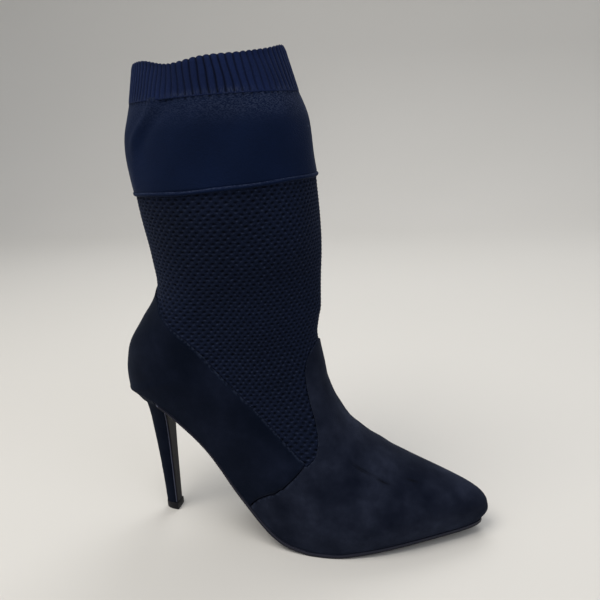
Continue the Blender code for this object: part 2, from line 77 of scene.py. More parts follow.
# Sole, heel and top lift
SOLE_THICKNESS = 0.0026
FLAP_THICKNESS = 0.0014
FLAP_ROWS = 40
SOLE_FIT = 0.0004
SOLE_EDGE = 0.0007
SOLE_ROUNDING = 0.0007
BREAST_RADIUS = 0.0022
BREAST_STATION = 13.50
HEEL_WIDTH = 0.0505
HEEL_FOOT_FRONT = 0.0225
HEEL_HOLLOW = 0.0009
SEAT_REACH = 0.0262
LIFT_HEIGHT = 0.0055
LIFT_EDGE = 0.0004

# Sections of the foot from the toe back. along and crown_along are shares of LENGTH, the
# half widths of BALL_WIDTH, heel of HEEL_RISE, toe of TOE_SPRING and crown of INSTEP_HEIGHT.
FOOT_SECTIONS = (
    # along, sole_out, sole_in, heel, toe, crown_along, crown, body_out, body_in, level, square
    (0.982, -0.072, 0.072, 0.000, 0.88, 1.000, 0.122, -0.072, 0.072, 0.50, 1.00),
    (0.975, -0.012, 0.134, 0.000, 0.87, 0.995, 0.151, -0.008, 0.140, 0.50, 1.00),
    (0.956, 0.046, 0.193, 0.000, 0.84, 0.979, 0.180, 0.052, 0.203, 0.50, 1.00),
    (0.923, 0.114, 0.266, 0.000, 0.79, 0.946, 0.209, 0.130, 0.279, 0.45, 1.00),
    (0.873, 0.202, 0.344, 0.000, 0.73, 0.893, 0.243, 0.231, 0.366, 0.40, 1.00),
    (0.811, 0.303, 0.412, 0.000, 0.62, 0.833, 0.283, 0.342, 0.442, 0.36, 1.00),
    (0.744, 0.398, 0.460, 0.000, 0.46, 0.772, 0.332, 0.440, 0.494, 0.32, 1.00),
    (0.674, 0.469, 0.475, 0.000, 0.23, 0.715, 0.396, 0.505, 0.509, 0.28, 1.00),
    (0.603, 0.506, 0.455, -0.002, 0.00, 0.660, 0.467, 0.533, 0.491, 0.26, 1.00),
    (0.529, 0.500, 0.402, 0.004, 0.00, 0.618, 0.548, 0.520, 0.454, 0.27, 1.00),
    (0.446, 0.458, 0.342, 0.072, 0.00, 0.593, 0.629, 0.486, 0.418, 0.32, 1.00),
    (0.350, 0.396, 0.291, 0.326, 0.00, 0.578, 0.704, 0.449, 0.406, 0.38, 1.00),
    (0.259, 0.350, 0.294, 0.634, 0.00, 0.570, 0.773, 0.432, 0.418, 0.42, 0.95),
    (0.168, 0.326, 0.314, 0.846, 0.00, 0.563, 0.838, 0.425, 0.424, 0.43, 0.92),
    (0.085, 0.300, 0.300, 0.981, 0.00, 0.560, 0.896, 0.420, 0.424, 0.44, 0.92),
    (0.026, 0.199, 0.199, 1.000, 0.00, 0.566, 0.953, 0.420, 0.424, 0.46, 0.94),
)

# Sections of the heel's back and the shaft, going up. front is a share of LENGTH, depth of
# SHAFT_DEPTH, width of SHAFT_WIDTH, back and rise of the way up to the rim.
SHAFT_SECTIONS = (
    # front, depth, back, rise, width, level, square
    (0.573, 1.215, 0.000, 0.000, 0.377, 0.48, 0.95),
    (0.575, 1.227, 0.017, 0.052, 0.386, 0.50, 0.94),
    (0.577, 1.225, 0.080, 0.103, 0.392, 0.50, 0.94),
    (0.580, 1.189, 0.151, 0.160, 0.398, 0.50, 0.95),
    (0.583, 1.099, 0.228, 0.219, 0.415, 0.50, 1.00),
    (0.584, 0.990, 0.319, 0.283, 0.443, 0.50, 1.00),
    (0.583, 0.991, 0.429, 0.360, 0.477, 0.50, 1.00),
    (0.580, 1.015, 0.558, 0.463, 0.500, 0.50, 1.00),
    (0.573, 1.016, 0.673, 0.592, 0.500, 0.50, 1.00),
    (0.565, 1.004, 0.787, 0.733, 0.483, 0.50, 1.00),
    (0.541, 0.910, 0.877, 0.843, 0.449, 0.50, 1.00),
    (0.509, 0.790, 0.975, 1.000, 0.432, 0.50, 1.00),
)
REAR = len(FOOT_SECTIONS)
RIM = REAR + len(SHAFT_SECTIONS) - 1

# Stations over which the open foot's straight sides give way to the round back's, and how
# far the slack rim dips round the shaft, as shares of RIM_WAVE
OPEN_REACH = 3
RIM_DIPS = (0.08, 0.04, 0.16, 0.95, 0.69, 0.68, 0.44, 0.00, 0.27, 0.55, 0.82, 0.65, 0.25, 0.16)

# Edges of the suede, as a section station and a share of the way round from the sole
QUARTER_EDGE = (
    # station, around
    (9.95, 0.322),
    (11.10, 0.299),
    (12.10, 0.279),
    (13.30, 0.271),
    (14.60, 0.268),
    (16.00, 0.260),
    (17.40, 0.242),
    (18.40, 0.221),
    (19.40, 0.184),
    (20.30, 0.134),
    (20.60, 0.112),
    (20.85, 0.078),
    (21.05, 0.038),
    (21.25, 0.000),
)
TONGUE_EDGE = (
    # around, station
    (0.320, 9.86),
    (0.350, 9.62),
    (0.375, 9.80),
    (0.391, 10.30),
    (0.398, 11.30),
    (0.408, 12.20),
    (0.432, 12.95),
    (0.466, 13.30),
    (0.500, 13.50),
)

# Stations of the seam's foot, its gap, the hem and the band's lower edge, and how far the
# seam is eased back. Then the powers by which it bends and its lean fades up the quarter.
SEAM_FOOT = 10.75
SEAM_GAP = 0.012
SEAM_EASE = 0.08
HEM_STATION = 23.55
BAND_STATION = 26.0
SEAM_BEND = 1.8
LEAN_FADE = 4
CALM_PASSES = 80

# Sections of the heel from its seat down: heights are shares of the way from top lift to
# seat at front and back, back is a share of SEAT_REACH, width a share of HEEL_WIDTH.
HEEL_SECTIONS = (
    # front, rear, back, width
    (0.903, 0.940, 0.240, 0.760),
    (0.855, 0.872, 0.325, 0.460),
    (0.738, 0.760, 0.390, 0.310),
    (0.588, 0.615, 0.435, 0.250),
    (0.425, 0.437, 0.485, 0.222),
    (0.209, 0.209, 0.530, 0.198),
    (0.000, 0.000, 0.550, 0.178),
)

# The pierced knit: holes round the shaft, height of a row, and the ellipse they turn on
KNIT_HOLES = 68
KNIT_ROW = 0.0024
KNIT_LOW = 0.058
KNIT_HIGH = 0.2440
KNIT_CENTRE = -0.030
KNIT_HALF_DEPTH = 0.057
KNIT_HALF_WIDTH = 0.043
KNIT_RADIUS = (KNIT_HALF_DEPTH + KNIT_HALF_WIDTH) / 2
HOLE_DEPTH = 0.0009
HOLE_HALF_WIDTH = 0.00105
HOLE_HALF_HEIGHT = 0.00066
LIP_HEIGHT = 0.00028
KNIT_SLACK = 0.0006

# The cuff, its rolled hem and the ribbed band
HEM_RADIUS = 0.0013
HEM_SINK = 0.0006
CUFF_CREASE = 0.0011
CUFF_HOLLOW = 0.0009
CUFF_FOLD = 0.0007
CUFF_SLACK = 0.0009
CUFF_RIPPLE = 0.0005
RIBS = 72
RIB_HEIGHT = 0.0007
RIB_LOOPS = 0.0006
BAND_WAVE = 0.0008

# Sizes of the patterns in the finishes. Nap and yarn have fibres finer than a pixel, so
# the suede's grain, its frayed edge and the yarn's fuzz are drawn coarser, to show.
NAP_PATCH = 0.030
RUBBED_PATCH = 0.0065
SUEDE_GRAIN = 0.0009
FRAYED_FIBRES = 0.0016
KNIT_PATCH = 0.045
YARN_FUZZ = 0.0011
SCUFF_PATCH = 0.012
LINING_PATCH = 0.020
BOARD_PATCH = 0.60

# The camera stands where the photograph's did, turned to the boot's middle
CAMERA_PLACE = (0.0996, -0.3762, 0.2714)
CAMERA_AIM = (0.0037, 0.0, 0.1615)
CAMERA_ROLL = 3.6
CAMERA_LENS = 37.7


def smooth(rows, at, before=None, after=None):
    """Read a table at the stations in at, on a Catmull-Rom curve through its rows."""
    rows = np.asarray(rows, dtype=float)
    before = 2 * rows[0] - rows[1] if before is None else before
    after = 2 * rows[-1] - rows[-2] if after is None else after
    padded = np.vstack([before, rows, after])
    slopes = (padded[2:] - padded[:-2]) / 2
    low = np.clip(np.floor(at).astype(int), 0, len(rows) - 2)
    t = (at - low)[..., None]
    start, end = rows[low], rows[low + 1]
    return (
        start * (2 * t**3 - 3 * t**2 + 1)
        + slopes[low] * (t**3 - 2 * t**2 + t)
        + end * (3 * t**2 - 2 * t**3)
        + slopes[low + 1] * (t**3 - t**2)
    )


def ease(value):
    """0 below 0 and 1 above 1, with a level start and end between them."""
    share = np.clip(value, 0, 1)
    return share * share * (3 - 2 * share)


def feather_height():
    """Height of the upper's lower edge where the forefoot lies flat."""
    return SOLE_THICKNESS + SOLE_FIT


def seat_height():
    """Height of the upper's lower edge at the back of the heel."""
    return feather_height() + HEEL_RISE


def feather(station):
    """The lower edge at stations up to the rear, as columns along, outer, inner, height."""
    along, sole_out, sole_in, heel, toe = np.array(FOOT_SECTIONS).T[:5]
    height = feather_height() + HEEL_RISE * heel + TOE_SPRING * toe
    foot = np.column_stack([LENGTH * along, -BALL_WIDTH * sole_out, BALL_WIDTH * sole_in, height])
    front, depth = SHAFT_SECTIONS[0][:2]
    rows = np.vstack([foot, [LENGTH * front - SHAFT_DEPTH * depth, 0.0, 0.0, seat_height()]])
    ends = rows[1][[0, 2, 1, 3]], rows[-2][[0, 2, 1, 3]]
    edge = smooth(rows, np.minimum(station, REAR), *ends)
    edge[..., 3] = np.maximum(edge[..., 3], feather_height())
    return edge


def back_line(station):
    """The shaft's centre line at the back, as columns along, outer, inner, height."""
    front, depth, back = np.array(SHAFT_SECTIONS).T[:3]
    along = LENGTH * front - SHAFT_DEPTH * depth
    height = seat_height() + (SHAFT_HEIGHT - seat_height()) * back
    rows = np.column_stack([along, 0 * along, 0 * along, height])
    return smooth(rows, np.clip(station - REAR, 0, RIM - REAR))


def crown_values(station):
    """Columns crown along, crown height, outer y, inner y, level and square."""
    foot = np.array(FOOT_SECTIONS)[:, 5:] * (LENGTH, INSTEP_HEIGHT, -BALL_WIDTH, BALL_WIDTH, 1, 1)
    front, _, _, rise, width, level, square = np.array(SHAFT_SECTIONS).T
    height = INSTEP_HEIGHT + (SHAFT_HEIGHT - INSTEP_HEIGHT) * rise
    half = SHAFT_WIDTH * width
    shaft = np.column_stack([LENGTH * front, height, -half, half, level, square])
    return smooth(np.vstack([foot, shaft]), station)


def rim_drop(around):
    """How far the slack rim sinks at a share of the way round."""
    dips = np.array(RIM_DIPS)[:, None]
    ring = np.vstack([dips, dips[:1]])
    return RIM_WAVE * smooth(ring, (around % 1) * len(RIM_DIPS), dips[-1], dips[1])[..., 0]


def body(station, around):
    """The boot's surface. A section's two sides are quarter waves from the sole, or from
    the back's centre line, to the widest point, and quarter ellipses on to the crown."""
    station, around = np.broadcast_arrays(np.asarray(station, float), np.asarray(around, float))
    at_foot = (station < REAR)[..., None]
    base = np.where(at_foot, feather(station), back_line(station))
    crown = crown_values(station)
    outer = around < 0.5
    foot_y = np.where(outer, base[..., 1], base[..., 2])
    wide_y = np.where(outer, crown[..., 2], crown[..., 3])
    middle_y = (crown[..., 2] + crown[..., 3]) / 2
    level, square = crown[..., 4], crown[..., 5]
    way = 1 - np.abs(2 * around - 1)
    low = np.clip(way, 0, 0.5) * np.pi
    high = (np.clip(way, 0.5, 1) - 0.5) * np.pi
    opening = ease((REAR - station) / OPEN_REACH)
    bend = opening * low * 2 / np.pi + (1 - opening) * (1 - np.cos(low) ** square)
    low_y = foot_y + (wide_y - foot_y) * np.sin(low) ** square
    high_y = middle_y + (wide_y - middle_y) * np.cos(high)
    y = np.where(way < 0.5, low_y, high_y)
    share = np.where(way < 0.5, level * bend, level + (1 - level) * np.sin(high))
    x = base[..., 0] + (crown[..., 0] - base[..., 0]) * share
    z = base[..., 3] + (crown[..., 1] - base[..., 3]) * share
    sink = np.clip(station - RIM + 1, 0, 1) ** 2
    return np.stack([x - LENGTH / 2, y, z - rim_drop(around) * sink], axis=-1)


def round_the_back(station, around):
    """A share of the way round, carried on past the back where the section is a ring."""
    return np.where(station >= REAR, around % 1, np.clip(around, 0, 1))


def outward(station, around):
    """Unit normals of the body: the cross product of its slopes round and along."""
    step = 0.004
    ahead = body(np.minimum(station + step, RIM), around)
    along = ahead - body(np.maximum(station - step, 0), around)
    up = body(station, round_the_back(station, around + step))
    across = up - body(station, round_the_back(station, around - step))
    normal = np.cross(across, along)
    return normal / np.maximum(np.linalg.norm(normal, axis=-1), 1e-12)[..., None]


def skin(station, around, height):
    """Points of the body, moved outwards by height."""
    station, around = np.broadcast_arrays(np.asarray(station, float), np.asarray(around, float))
    height = np.broadcast_to(height, station.shape)
    return body(station, around) + outward(station, around) * height[..., None]


def sheet_faces(rows, columns, keep=None):
    """Quads over a grid of rows and columns of points, or those of them to keep."""
    index = np.arange(rows * columns).reshape(rows, columns)
    corners = (index[:-1, :-1], index[:-1, 1:], index[1:, 1:], index[1:, :-1])
    quads = np.stack(corners, axis=-1)
    return (quads if keep is None else quads[keep]).reshape(-1, 4)


def mesh_from(name, points, faces, values, turn=False):
    """A mesh of points and faces, with a number for each point in each of its values. Its
    doubled points are merged, and its faces turned outwards if asked."""
    mesh = bpy.data.meshes.new(name)
    mesh.from_pydata(points, [], faces)
    for key, numbers in values.items():
        layer = mesh.attributes.new(key, "FLOAT", "POINT")
        layer.data.foreach_set("value", numbers.astype(np.float32))
    shape = bmesh.new()
    shape.from_mesh(mesh)
    bmesh.ops.remove_doubles(shape, verts=shape.verts, dist=0.00001)
    if turn:
        bmesh.ops.recalc_face_normals(shape, faces=shape.faces)
    shape.to_mesh(mesh)
    shape.free()
    return mesh


def piece_from(name, grid, finish, keep=None, values=None, closed=False, turn=False):
    """A smooth piece over a grid of points, or over the quads of it to keep. values are
    numbers for each point that its finish reads, and a closed grid joins its sides."""
    values = values or {}
    if closed:
        grid = np.concatenate([grid, grid[:, :1]], axis=1)
        values = {key: np.concatenate([v, v[:, :1]], axis=1) for key, v in values.items()}
    faces = sheet_faces(*grid.shape[:2], keep)
    used, corners = np.unique(faces, return_inverse=True)
    values = {key: v.ravel()[used] for key, v in values.items()}
    corners = corners.reshape(faces.shape).tolist()
    mesh = mesh_from(name, grid.reshape(-1, 3)[used], corners, values, turn)
    return dress(name, mesh, finish)


def dress(name, mesh, finish):
    """An object of the mesh in its finish."""
    mesh.materials.append(finish)
    mesh.shade_smooth()
    piece = bpy.data.objects.new(name, mesh)
    bpy.context.scene.collection.objects.link(piece)
    return piece


def thicken(piece, thickness):
    """Give a sheet a wall on its inner side."""
    wall = piece.modifiers.new("wall", "SOLIDIFY")
    wall.thickness = thickness
    wall.offset = -1
    wall.use_even_offset = False


def solid_from(name, rings, finish, sharp=40, values=None):
    """A closed piece through a stack of rings, with flat fans of faces over both ends.
    values are numbers for each point of the rings that its finish reads."""
    count, size = rings.shape[:2]
    centres = rings[[0, -1]].mean(axis=1)
    points = np.concatenate([rings.reshape(-1, 3), centres])
    index = np.arange(count * size).reshape(count, size)
    nxt = np.roll(index, -1, axis=1)
    sides = np.stack([index[:-1], nxt[:-1], nxt[1:], index[1:]], axis=-1).reshape(-1, 4)
    first = np.column_stack([nxt[0], index[0], np.full(size, count * size)])
    last = np.column_stack([index[-1], nxt[-1], np.full(size, count * size + 1)])
    faces = sides.tolist() + first.tolist() + last.tolist()
    marks = {}
    for key, numbers in (values or {}).items():
        marks[key] = np.append(np.broadcast_to(numbers, (count, size)), [0, 0])
    mesh = mesh_from(name, points, faces, marks, turn=True)
    piece = dress(name, mesh, finish)
    mesh.set_sharp_from_angle(angle=np.radians(sharp))
    return piece


def wear(piece, slot, *nodes):
    """The piece rides on the boot and stands for these CAD nodes. Its slot is not used."""
    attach(piece, "root")
    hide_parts(*nodes)


def linear(colour):
    """An sRGB hex colour as linear RGBA."""
    parts = np.array([int(colour[i : i + 2], 16) for i in (1, 3, 5)]) / 255
    low, high = parts / 12.92, ((parts + 0.055) / 1.055) ** 2.4
    return (*np.where(parts <= 0.04045, low, high), 1.0)


def add(tree, kind, inputs=None, **settings):
    """Add a node with its settings, and set or link each of its inputs."""
    node = tree.nodes.new(kind)
    for key, value in settings.items():
        setattr(node, key, value)
    for key, value in (inputs or {}).items():
        if isinstance(value, bpy.types.NodeSocket):
            tree.links.new(value, node.inputs[key])
        else:
            node.inputs[key].default_value = value
    return node


def new_finish(name, **sockets):
    """A material and its tree and shader, with numbers set on the shader's own sockets."""
    material = bpy.data.materials.new(name)
    material.use_nodes = True
    tree = material.node_tree
    shader = tree.nodes["Principled BSDF"]
    for key, value in sockets.items():
        shader.inputs[key.replace("_", " ")].default_value = value
    return material, tree, shader


def patches(tree, place, size, low=0.0, high=1.0, detail=3.0, least=0.0, most=1.0):
    """Soft patches about size across: noise, stretched so that low gives least and high
    gives most."""
    noise = {"Vector": place, "Scale": 1 / size, "Detail": detail, "Roughness": 0.55}
    value = add(tree, "ShaderNodeTexNoise", noise).outputs["Fac"]
    spread = {"Value": value, "From Min": low, "From Max": high, "To Min": least, "To Max": most}
    return add(tree, "ShaderNodeMapRange", spread).outputs["Result"]


def lint(tree, place, spacing, radius):
    """1 on rare specks of lint: the middles of the paler cells of a scatter of points."""
    cells = add(tree, "ShaderNodeTexVoronoi", {"Vector": place, "Scale": 1 / spacing})
    tone = add(tree, "ShaderNodeSeparateColor", {0: cells.outputs["Color"]}).outputs[0]
    pale = add(tree, "ShaderNodeMapRange", {"Value": tone, "From Min": 0.62, "From Max": 0.70})
    rim = radius / spacing
    near = {"Value": cells.outputs["Distance"], "From Min": rim, "From Max": 0.4 * rim}
    near["To Max"] = pale.outputs["Result"]
    return add(tree, "ShaderNodeMapRange", near).outputs["Result"]


def paint(tree, shader, ground, *coats):
    """Lay coats over a ground colour in order, each by its share from 0 to 1."""
    colour = linear(ground)
    for share, coat in coats:
        mixed = {0: share, 6: colour, 7: linear(coat)}
        colour = add(tree, "ShaderNodeMix", mixed, data_type="RGBA").outputs[2]
    tree.links.new(colour, shader.inputs["Base Color"])


def suede_finish(name, dark, pale, lint_colour):
    """Brushed cloth: matt, with soft paler patches where the nap lies the other way, a
    frayed edge and scuffs where the piece's own attributes mark them, and lint."""
    material, tree, shader = new_finish(
        name, Roughness=0.93, Sheen_Weight=0.10, Sheen_Roughness=0.45, Specular_IOR_Level=0.05
    )
    shader.inputs["Sheen Tint"].default_value = linear("#8e9ab4")
    place = add(tree, "ShaderNodeTexCoord").outputs["Object"]
    nap = patches(tree, place, NAP_PATCH, 0.36, 0.70)
    rubbed = patches(tree, place, RUBBED_PATCH, 0.40, 0.72, 4.0, least=0.55)
    turned = add(tree, "ShaderNodeMath", {0: nap, 1: rubbed}, operation="MULTIPLY").outputs[0]
    ragged = patches(tree, place, FRAYED_FIBRES, 0.44, 0.58, 1.0, most=0.30)
    edge = add(tree, "ShaderNodeAttribute", attribute_name="edge").outputs["Fac"]
    frayed = add(tree, "ShaderNodeMath", {0: edge, 1: ragged}, operation="MULTIPLY").outputs[0]
    scuff = add(tree, "ShaderNodeAttribute", attribute_name="scuff").outputs["Fac"]
    specks = lint(tree, place, 0.017, 0.00042)
    coats = (turned, pale), (frayed, "#3a4358"), (scuff, "#04060b"), (specks, lint_colour)
    paint(tree, shader, dark, *coats)
    grain = {0: nap, 1: 0.6, 2: patches(tree, place, SUEDE_GRAIN, detail=2.0)}
    relief = add(tree, "ShaderNodeMath", grain, operation="MULTIPLY_ADD").outputs[0]
    bump = {"Height": relief, "Distance": 0.0003, "Strength": 0.55}
    tree.links.new(add(tree, "ShaderNodeBump", bump).outputs[0], shader.inputs["Normal"])
    return material


def knit_finish(name, dark, pale, stretch):
    """Knitted yarn: matt and slightly fuzzy, with paler yarn flecks and painted highlights, and
    near black painted shade in holes, grooves and under rolls, where the piece's own attributes
    mark them, and lint."""
    material, tree, shader = new_finish(
        name, Roughness=0.82, Sheen_Weight=0.10, Sheen_Roughness=0.40, Specular_IOR_Level=0.05
    )
    shader.inputs["Sheen Tint"].default_value = linear("#8fa0c8")
    place = add(tree, "ShaderNodeTexCoord").outputs["Object"]
    worn = patches(tree, place, KNIT_PATCH, 0.32, 0.72, most=0.5)
    drawn = add(tree, "ShaderNodeMapping", {"Vector": place, "Scale": stretch}).outputs[0]
    yarn = patches(tree, drawn, YARN_FUZZ, detail=1.0)
    tone = {0: yarn, 1: 0.5, 2: worn}
    mottled = add(tree, "ShaderNodeMath", tone, operation="MULTIPLY_ADD").outputs[0]
    flecks_and_highlight = add(tree, "ShaderNodeAttribute", attribute_name="flecks_and_highlight").outputs["Fac"]
    fleck_and_highlight_spread = {"Value": yarn, "From Min": 0.42, "From Max": 0.62, "To Max": flecks_and_highlight}
    lit = add(tree, "ShaderNodeMapRange", fleck_and_highlight_spread).outputs["Result"]
    painted_shade = add(tree, "ShaderNodeAttribute", attribute_name="painted_shade").outputs["Fac"]
    specks = lint(tree, place, 0.019, 0.00040)
    # The paler coat is yarn flecks and painted highlight, the near black coat painted shade
    coats = (mottled, pale), (lit, "#2c344a"), (painted_shade, "#02040a"), (specks, "#6f7a90")
    paint(tree, shader, dark, *coats)
    bump = {"Height": yarn, "Distance": 0.0004, "Strength": 0.8}
    tree.links.new(add(tree, "ShaderNodeBump", bump).outputs[0], shader.inputs["Normal"])
    return material


def moulded_finish(name, colour, edge_highlight, roughness, coat, grain):
    """Moulded polymer: near black and satin, with a fine pebble, soft scuffs and a painted
    highlight, a paler upper edge, where the piece's own attribute marks one."""
    material, tree, shader = new_finish(
        name, Roughness=roughness, Coat_Weight=coat, Coat_Roughness=0.25, Specular_IOR_Level=0.12
    )
    place = add(tree, "ShaderNodeTexCoord").outputs["Object"]
    scuff = patches(tree, place, SCUFF_PATCH, 0.45, 0.75, 4.0, most=0.35)
    edge = add(tree, "ShaderNodeAttribute", attribute_name="edge_highlight").outputs["Fac"]
    paint(tree, shader, colour, (scuff, "#1c1b22"), (edge, edge_highlight))
    pebble = patches(tree, place, grain, detail=2.0)
    bump = {"Height": pebble, "Distance": 0.0001, "Strength": 0.5}
    tree.links.new(add(tree, "ShaderNodeBump", bump).outputs[0], shader.inputs["Normal"])
    return material


def inner_finish(name, colour, roughness, grain):
    """Lining cloth or coated insole stock: plain, dark and slightly pebbled."""
    material, tree, shader = new_finish(name, Roughness=roughness, Specular_IOR_Level=0.06)
    place = add(tree, "ShaderNodeTexCoord").outputs["Object"]
    paint(tree, shader, colour, (patches(tree, place, LINING_PATCH), "#0f1424"))
    pebble = patches(tree, place, grain, detail=2.0)
    bump = {"Height": pebble, "Distance": 0.0002, "Strength": 0.5}
    tree.links.new(add(tree, "ShaderNodeBump", bump).outputs[0], shader.inputs["Normal"])
    return material


def stage_finish(name, colour, roughness):
    """Painted board: pale, even and matt."""
    material, tree, shader = new_finish(name, Roughness=roughness, Specular_IOR_Level=0.2)
    place = add(tree, "ShaderNodeTexCoord").outputs["Object"]
    paint(tree, shader, colour, (patches(tree, place, BOARD_PATCH, detail=1.0), "#cdcbc6"))
    return material


def quarter_around(station):
    """How far round the quarter reaches at a station, up to the point of its tab."""
    rows = np.array(QUARTER_EDGE)
    curve = smooth(rows, np.linspace(0, len(rows) - 1, 400))
    return np.interp(station, curve[:, 0], curve[:, 1])


def tongue_station(around):
    """Station of the vamp's upper edge, at a share of the way round folded to one side."""
    rows = np.array(TONGUE_EDGE)
    curve = smooth(rows, np.linspace(0, len(rows) - 1, 400))
    return np.interp(around, curve[:, 0], curve[:, 1])


def seam_round(around):
    """How far the seam is eased back where the body's sides turn over."""
    return SEAM_EASE * trough(around - 0.25, 0.040)


def seam_station(around):
    """Station of the seam between vamp and quarter, at a share of the way round."""
    tip_station, tip_around = QUARTER_EDGE[0]
    line = SEAM_FOOT + (tip_station - SEAM_FOOT) * (around / tip_around) ** SEAM_BEND
    return line + seam_round(around)


def edge_roll(grid):
    """How far a cut edge turns down at a grid's last row: a quarter of an ellipse."""
    steps = np.linalg.norm(np.diff(grid, axis=0), axis=-1)
    left = np.concatenate([np.cumsum(steps[::-1], axis=0)[::-1], np.zeros((1, grid.shape[1]))])
    share = np.clip(left / EDGE_WIDTH, 0, 1)
    return -EDGE_DEPTH * (1 - np.sqrt(1 - (1 - share) ** 2))


def trough(distance, width):
    """A soft trough or ridge across a distance: a bell of that half width."""
    return np.exp(-((distance / width) ** 2))


def vamp_creases(station, around):
    """Creases of the vamp: shallow flex folds over the ball, a long soft
    hollow up each side of the tongue, and the toe's slight flats."""
    side = np.minimum(around, 1 - around)
    height = 0
    for at, lean, low, high, depth in (
        # station at the crown, lean toward the sole, from and to round the side, depth
        (6.7, 1.6, 0.10, 0.42, -0.00045),
        (7.6, 1.2, 0.16, 0.50, -0.00035),
        (8.6, 0.7, 0.20, 0.50, -0.00050),
        (9.4, 0.5, 0.30, 0.50, 0.00035),
        (10.9, -0.9, 0.41, 0.50, -0.00040),
    ):
        line = at - lean * (0.5 - side)
        within = ease((side - low) / 0.08) * ease((high + 0.06 - side) / 0.06)
        height = height + depth * trough(station - line, 0.32) * within
    hollow = trough(side - 0.36, 0.03) * ease((station - 8) / 1.5)
    flat = trough(side - 0.24, 0.06) * trough(station - 4.2, 1.4)
    return height - 0.0003 * hollow - 0.0003 * flat


def quarter_creases(station, around):
    """Creases of the quarter: a soft slack fold from the tab's foot, and a
    hollow ahead of the heel's back."""
    side = np.minimum(around, 1 - around)
    slack = trough(station - 17.9 + 5 * (side - 0.1), 0.5) * ease(side / 0.06)
    waist = trough(station - 13.0, 1.1) * trough(side - 0.14, 0.06)
    return -0.0005 * slack - 0.0004 * waist


def round_the_nose(grid, station):
    """Fill out the nose under its tip by a half wave over its height, fading backwards."""
    low, high = body(0, 0)[2], body(0, 0.5)[2]
    share = np.clip((grid[..., 2] - low) / (high - low), 0, 1)
    grid[..., 0] += NOSE_BULGE * np.sin(np.pi * share**0.8) * (1 - ease(station / NOSE_REACH))
    return grid


def make_vamp(finish):
    """The suede vamp. Rows run from the toe to the seam or the tongue's edge, and columns
    from the outer sole edge over the crown to the inner one."""
    even = np.linspace(0, 1, 85)
    half = 0.5 * (even + 0.10 * np.sin(np.pi * even) ** 2)
    tip = TONGUE_EDGE[0][0]
    seam = seam_station(np.minimum(half, tip)) - SEAM_GAP
    edge = np.where(half < tip, seam, tongue_station(half))
    around = np.concatenate([half, 1 - half[-2::-1]])[None, :]
    edge = np.concatenate([edge, edge[-2::-1]])[None, :]
    rows = np.linspace(0, 1, 130) ** 0.9
    station = rows[:, None] * edge
    around = np.broadcast_to(around, station.shape)
    nose = ease(station / 1.5)
    roll = edge_roll(body(station, around))
    height = vamp_creases(station, around) * nose + roll
    grid = round_the_nose(skin(station, around, height), station)
    scuffs = 0
    for at, way, length in (
        # station, around, half length in stations
        (7.50, 0.394, 0.34),
        (6.60, 0.388, 0.26),
        (5.43, 0.420, 0.22),
        (7.00, 0.612, 0.30),
    ):
        scuffs = scuffs + trough(station - at, length) * trough(around - way, SCUFF_WIDTH)
    marks = {"scuff": 0.85 * np.clip(scuffs, 0, 1), "edge": np.clip(-roll / FRAY_DEPTH, 0, 1)}
    vamp = piece_from("vamp_suede", grid, finish, values=marks)
    thicken(vamp, SUEDE)
    wear(vamp, "vamp", "vamp")


def make_quarter(finish):
    """The suede quarter, both sides in one sheet. Rows run from the seam to the tab's
    point, and columns from one top edge round the back to the other. Where the foot's
    sections give way to the shaft's, each of CALM_PASSES moves a point up to the whole way
    to the middle of its neighbours in the next rows, as far as a bell over the rows allows."""
    tab = QUARTER_EDGE[-1][0]
    foot = np.linspace(SEAM_FOOT, REAR, 80, endpoint=False)
    rows = np.concatenate([foot, np.linspace(REAR, tab, 60)])
    share = ((rows - SEAM_FOOT) / (tab - SEAM_FOOT))[:, None]
    lean = (SEAM_FOOT - QUARTER_EDGE[0][0]) * (1 - share) ** LEAN_FADE
    reach = quarter_around(rows[:, None] - lean)
    up = np.linspace(0, 1, 56)[None, :]
    station = rows[:, None] - lean * up**SEAM_BEND + SEAM_GAP * (1 - share)
    station = station + seam_round(up * reach) * (1 - share) ** LEAN_FADE
    sides = []
    rolls = []
    for flip in (False, True):
        around = np.broadcast_to(up * reach, station.shape)
        around = 1 - around if flip else around
        side = np.minimum(around, 1 - around)
        roll = edge_roll(np.swapaxes(body(station, around), 0, 1)).T
        height = quarter_creases(station, around) * ease((1 - up) / 0.1) + roll
        seat = ease((REAR - station) / 0.6) + ease(side / 0.02)
        grid = skin(station, around, height * np.clip(seat, 0, 1))
        calm = trough(rows[1:-1, None, None] - REAR, 1.0)
        calm = 0.5 * calm * ease(side / 0.04)[1:-1, :, None]
        for _ in range(CALM_PASSES):
            grid[1:-1] += calm * (grid[:-2] + grid[2:] - 2 * grid[1:-1])
        sides.append(grid)
        rolls.append(np.clip(-roll / FRAY_DEPTH, 0, 1))
    open_foot = np.concatenate([sides[1][:, ::-1], sides[0]], axis=1)
    keep = np.ones((open_foot.shape[0] - 1, open_foot.shape[1] - 1), bool)
    keep[:, up.shape[1] - 1] = False
    marks = {"edge": np.concatenate([rolls[1][:, ::-1], rolls[0]], axis=1)}
    quarter = piece_from("quarter_suede", open_foot, finish, keep=keep, values=marks)
    thicken(quarter, SUEDE)
    wear(quarter, "quarter", "quarter")


def make_lining(finish):
    """The sock's lining, one shell from the lower edge to the rim, inside the knit: the
    body moved inwards, less at the toe and behind the cuff."""
    toe = np.linspace(0, 4, 24, endpoint=False)
    station = np.concatenate([toe, np.linspace(4, RIM - 0.09, 130)])[:, None]
    around = np.linspace(0, 1, 161)[None, :]
    depth = LINING_DEPTH * (0.35 + 0.65 * ease(station / 3))
    depth = depth * (1 - 0.25 * ease(station - HEM_STATION + 0.7))
    grid = skin(station, around, -depth)
    grid[..., 0] -= TOE_INSET * np.clip(1 - station / 3, 0, 1)
    grid[0, :, 1] = (grid[0, :, 1] + grid[0, ::-1, 1]) / 2
    lining = piece_from("lining", grid, finish)
    thicken(lining, WALL)
    wear(lining, "upper", "upper")


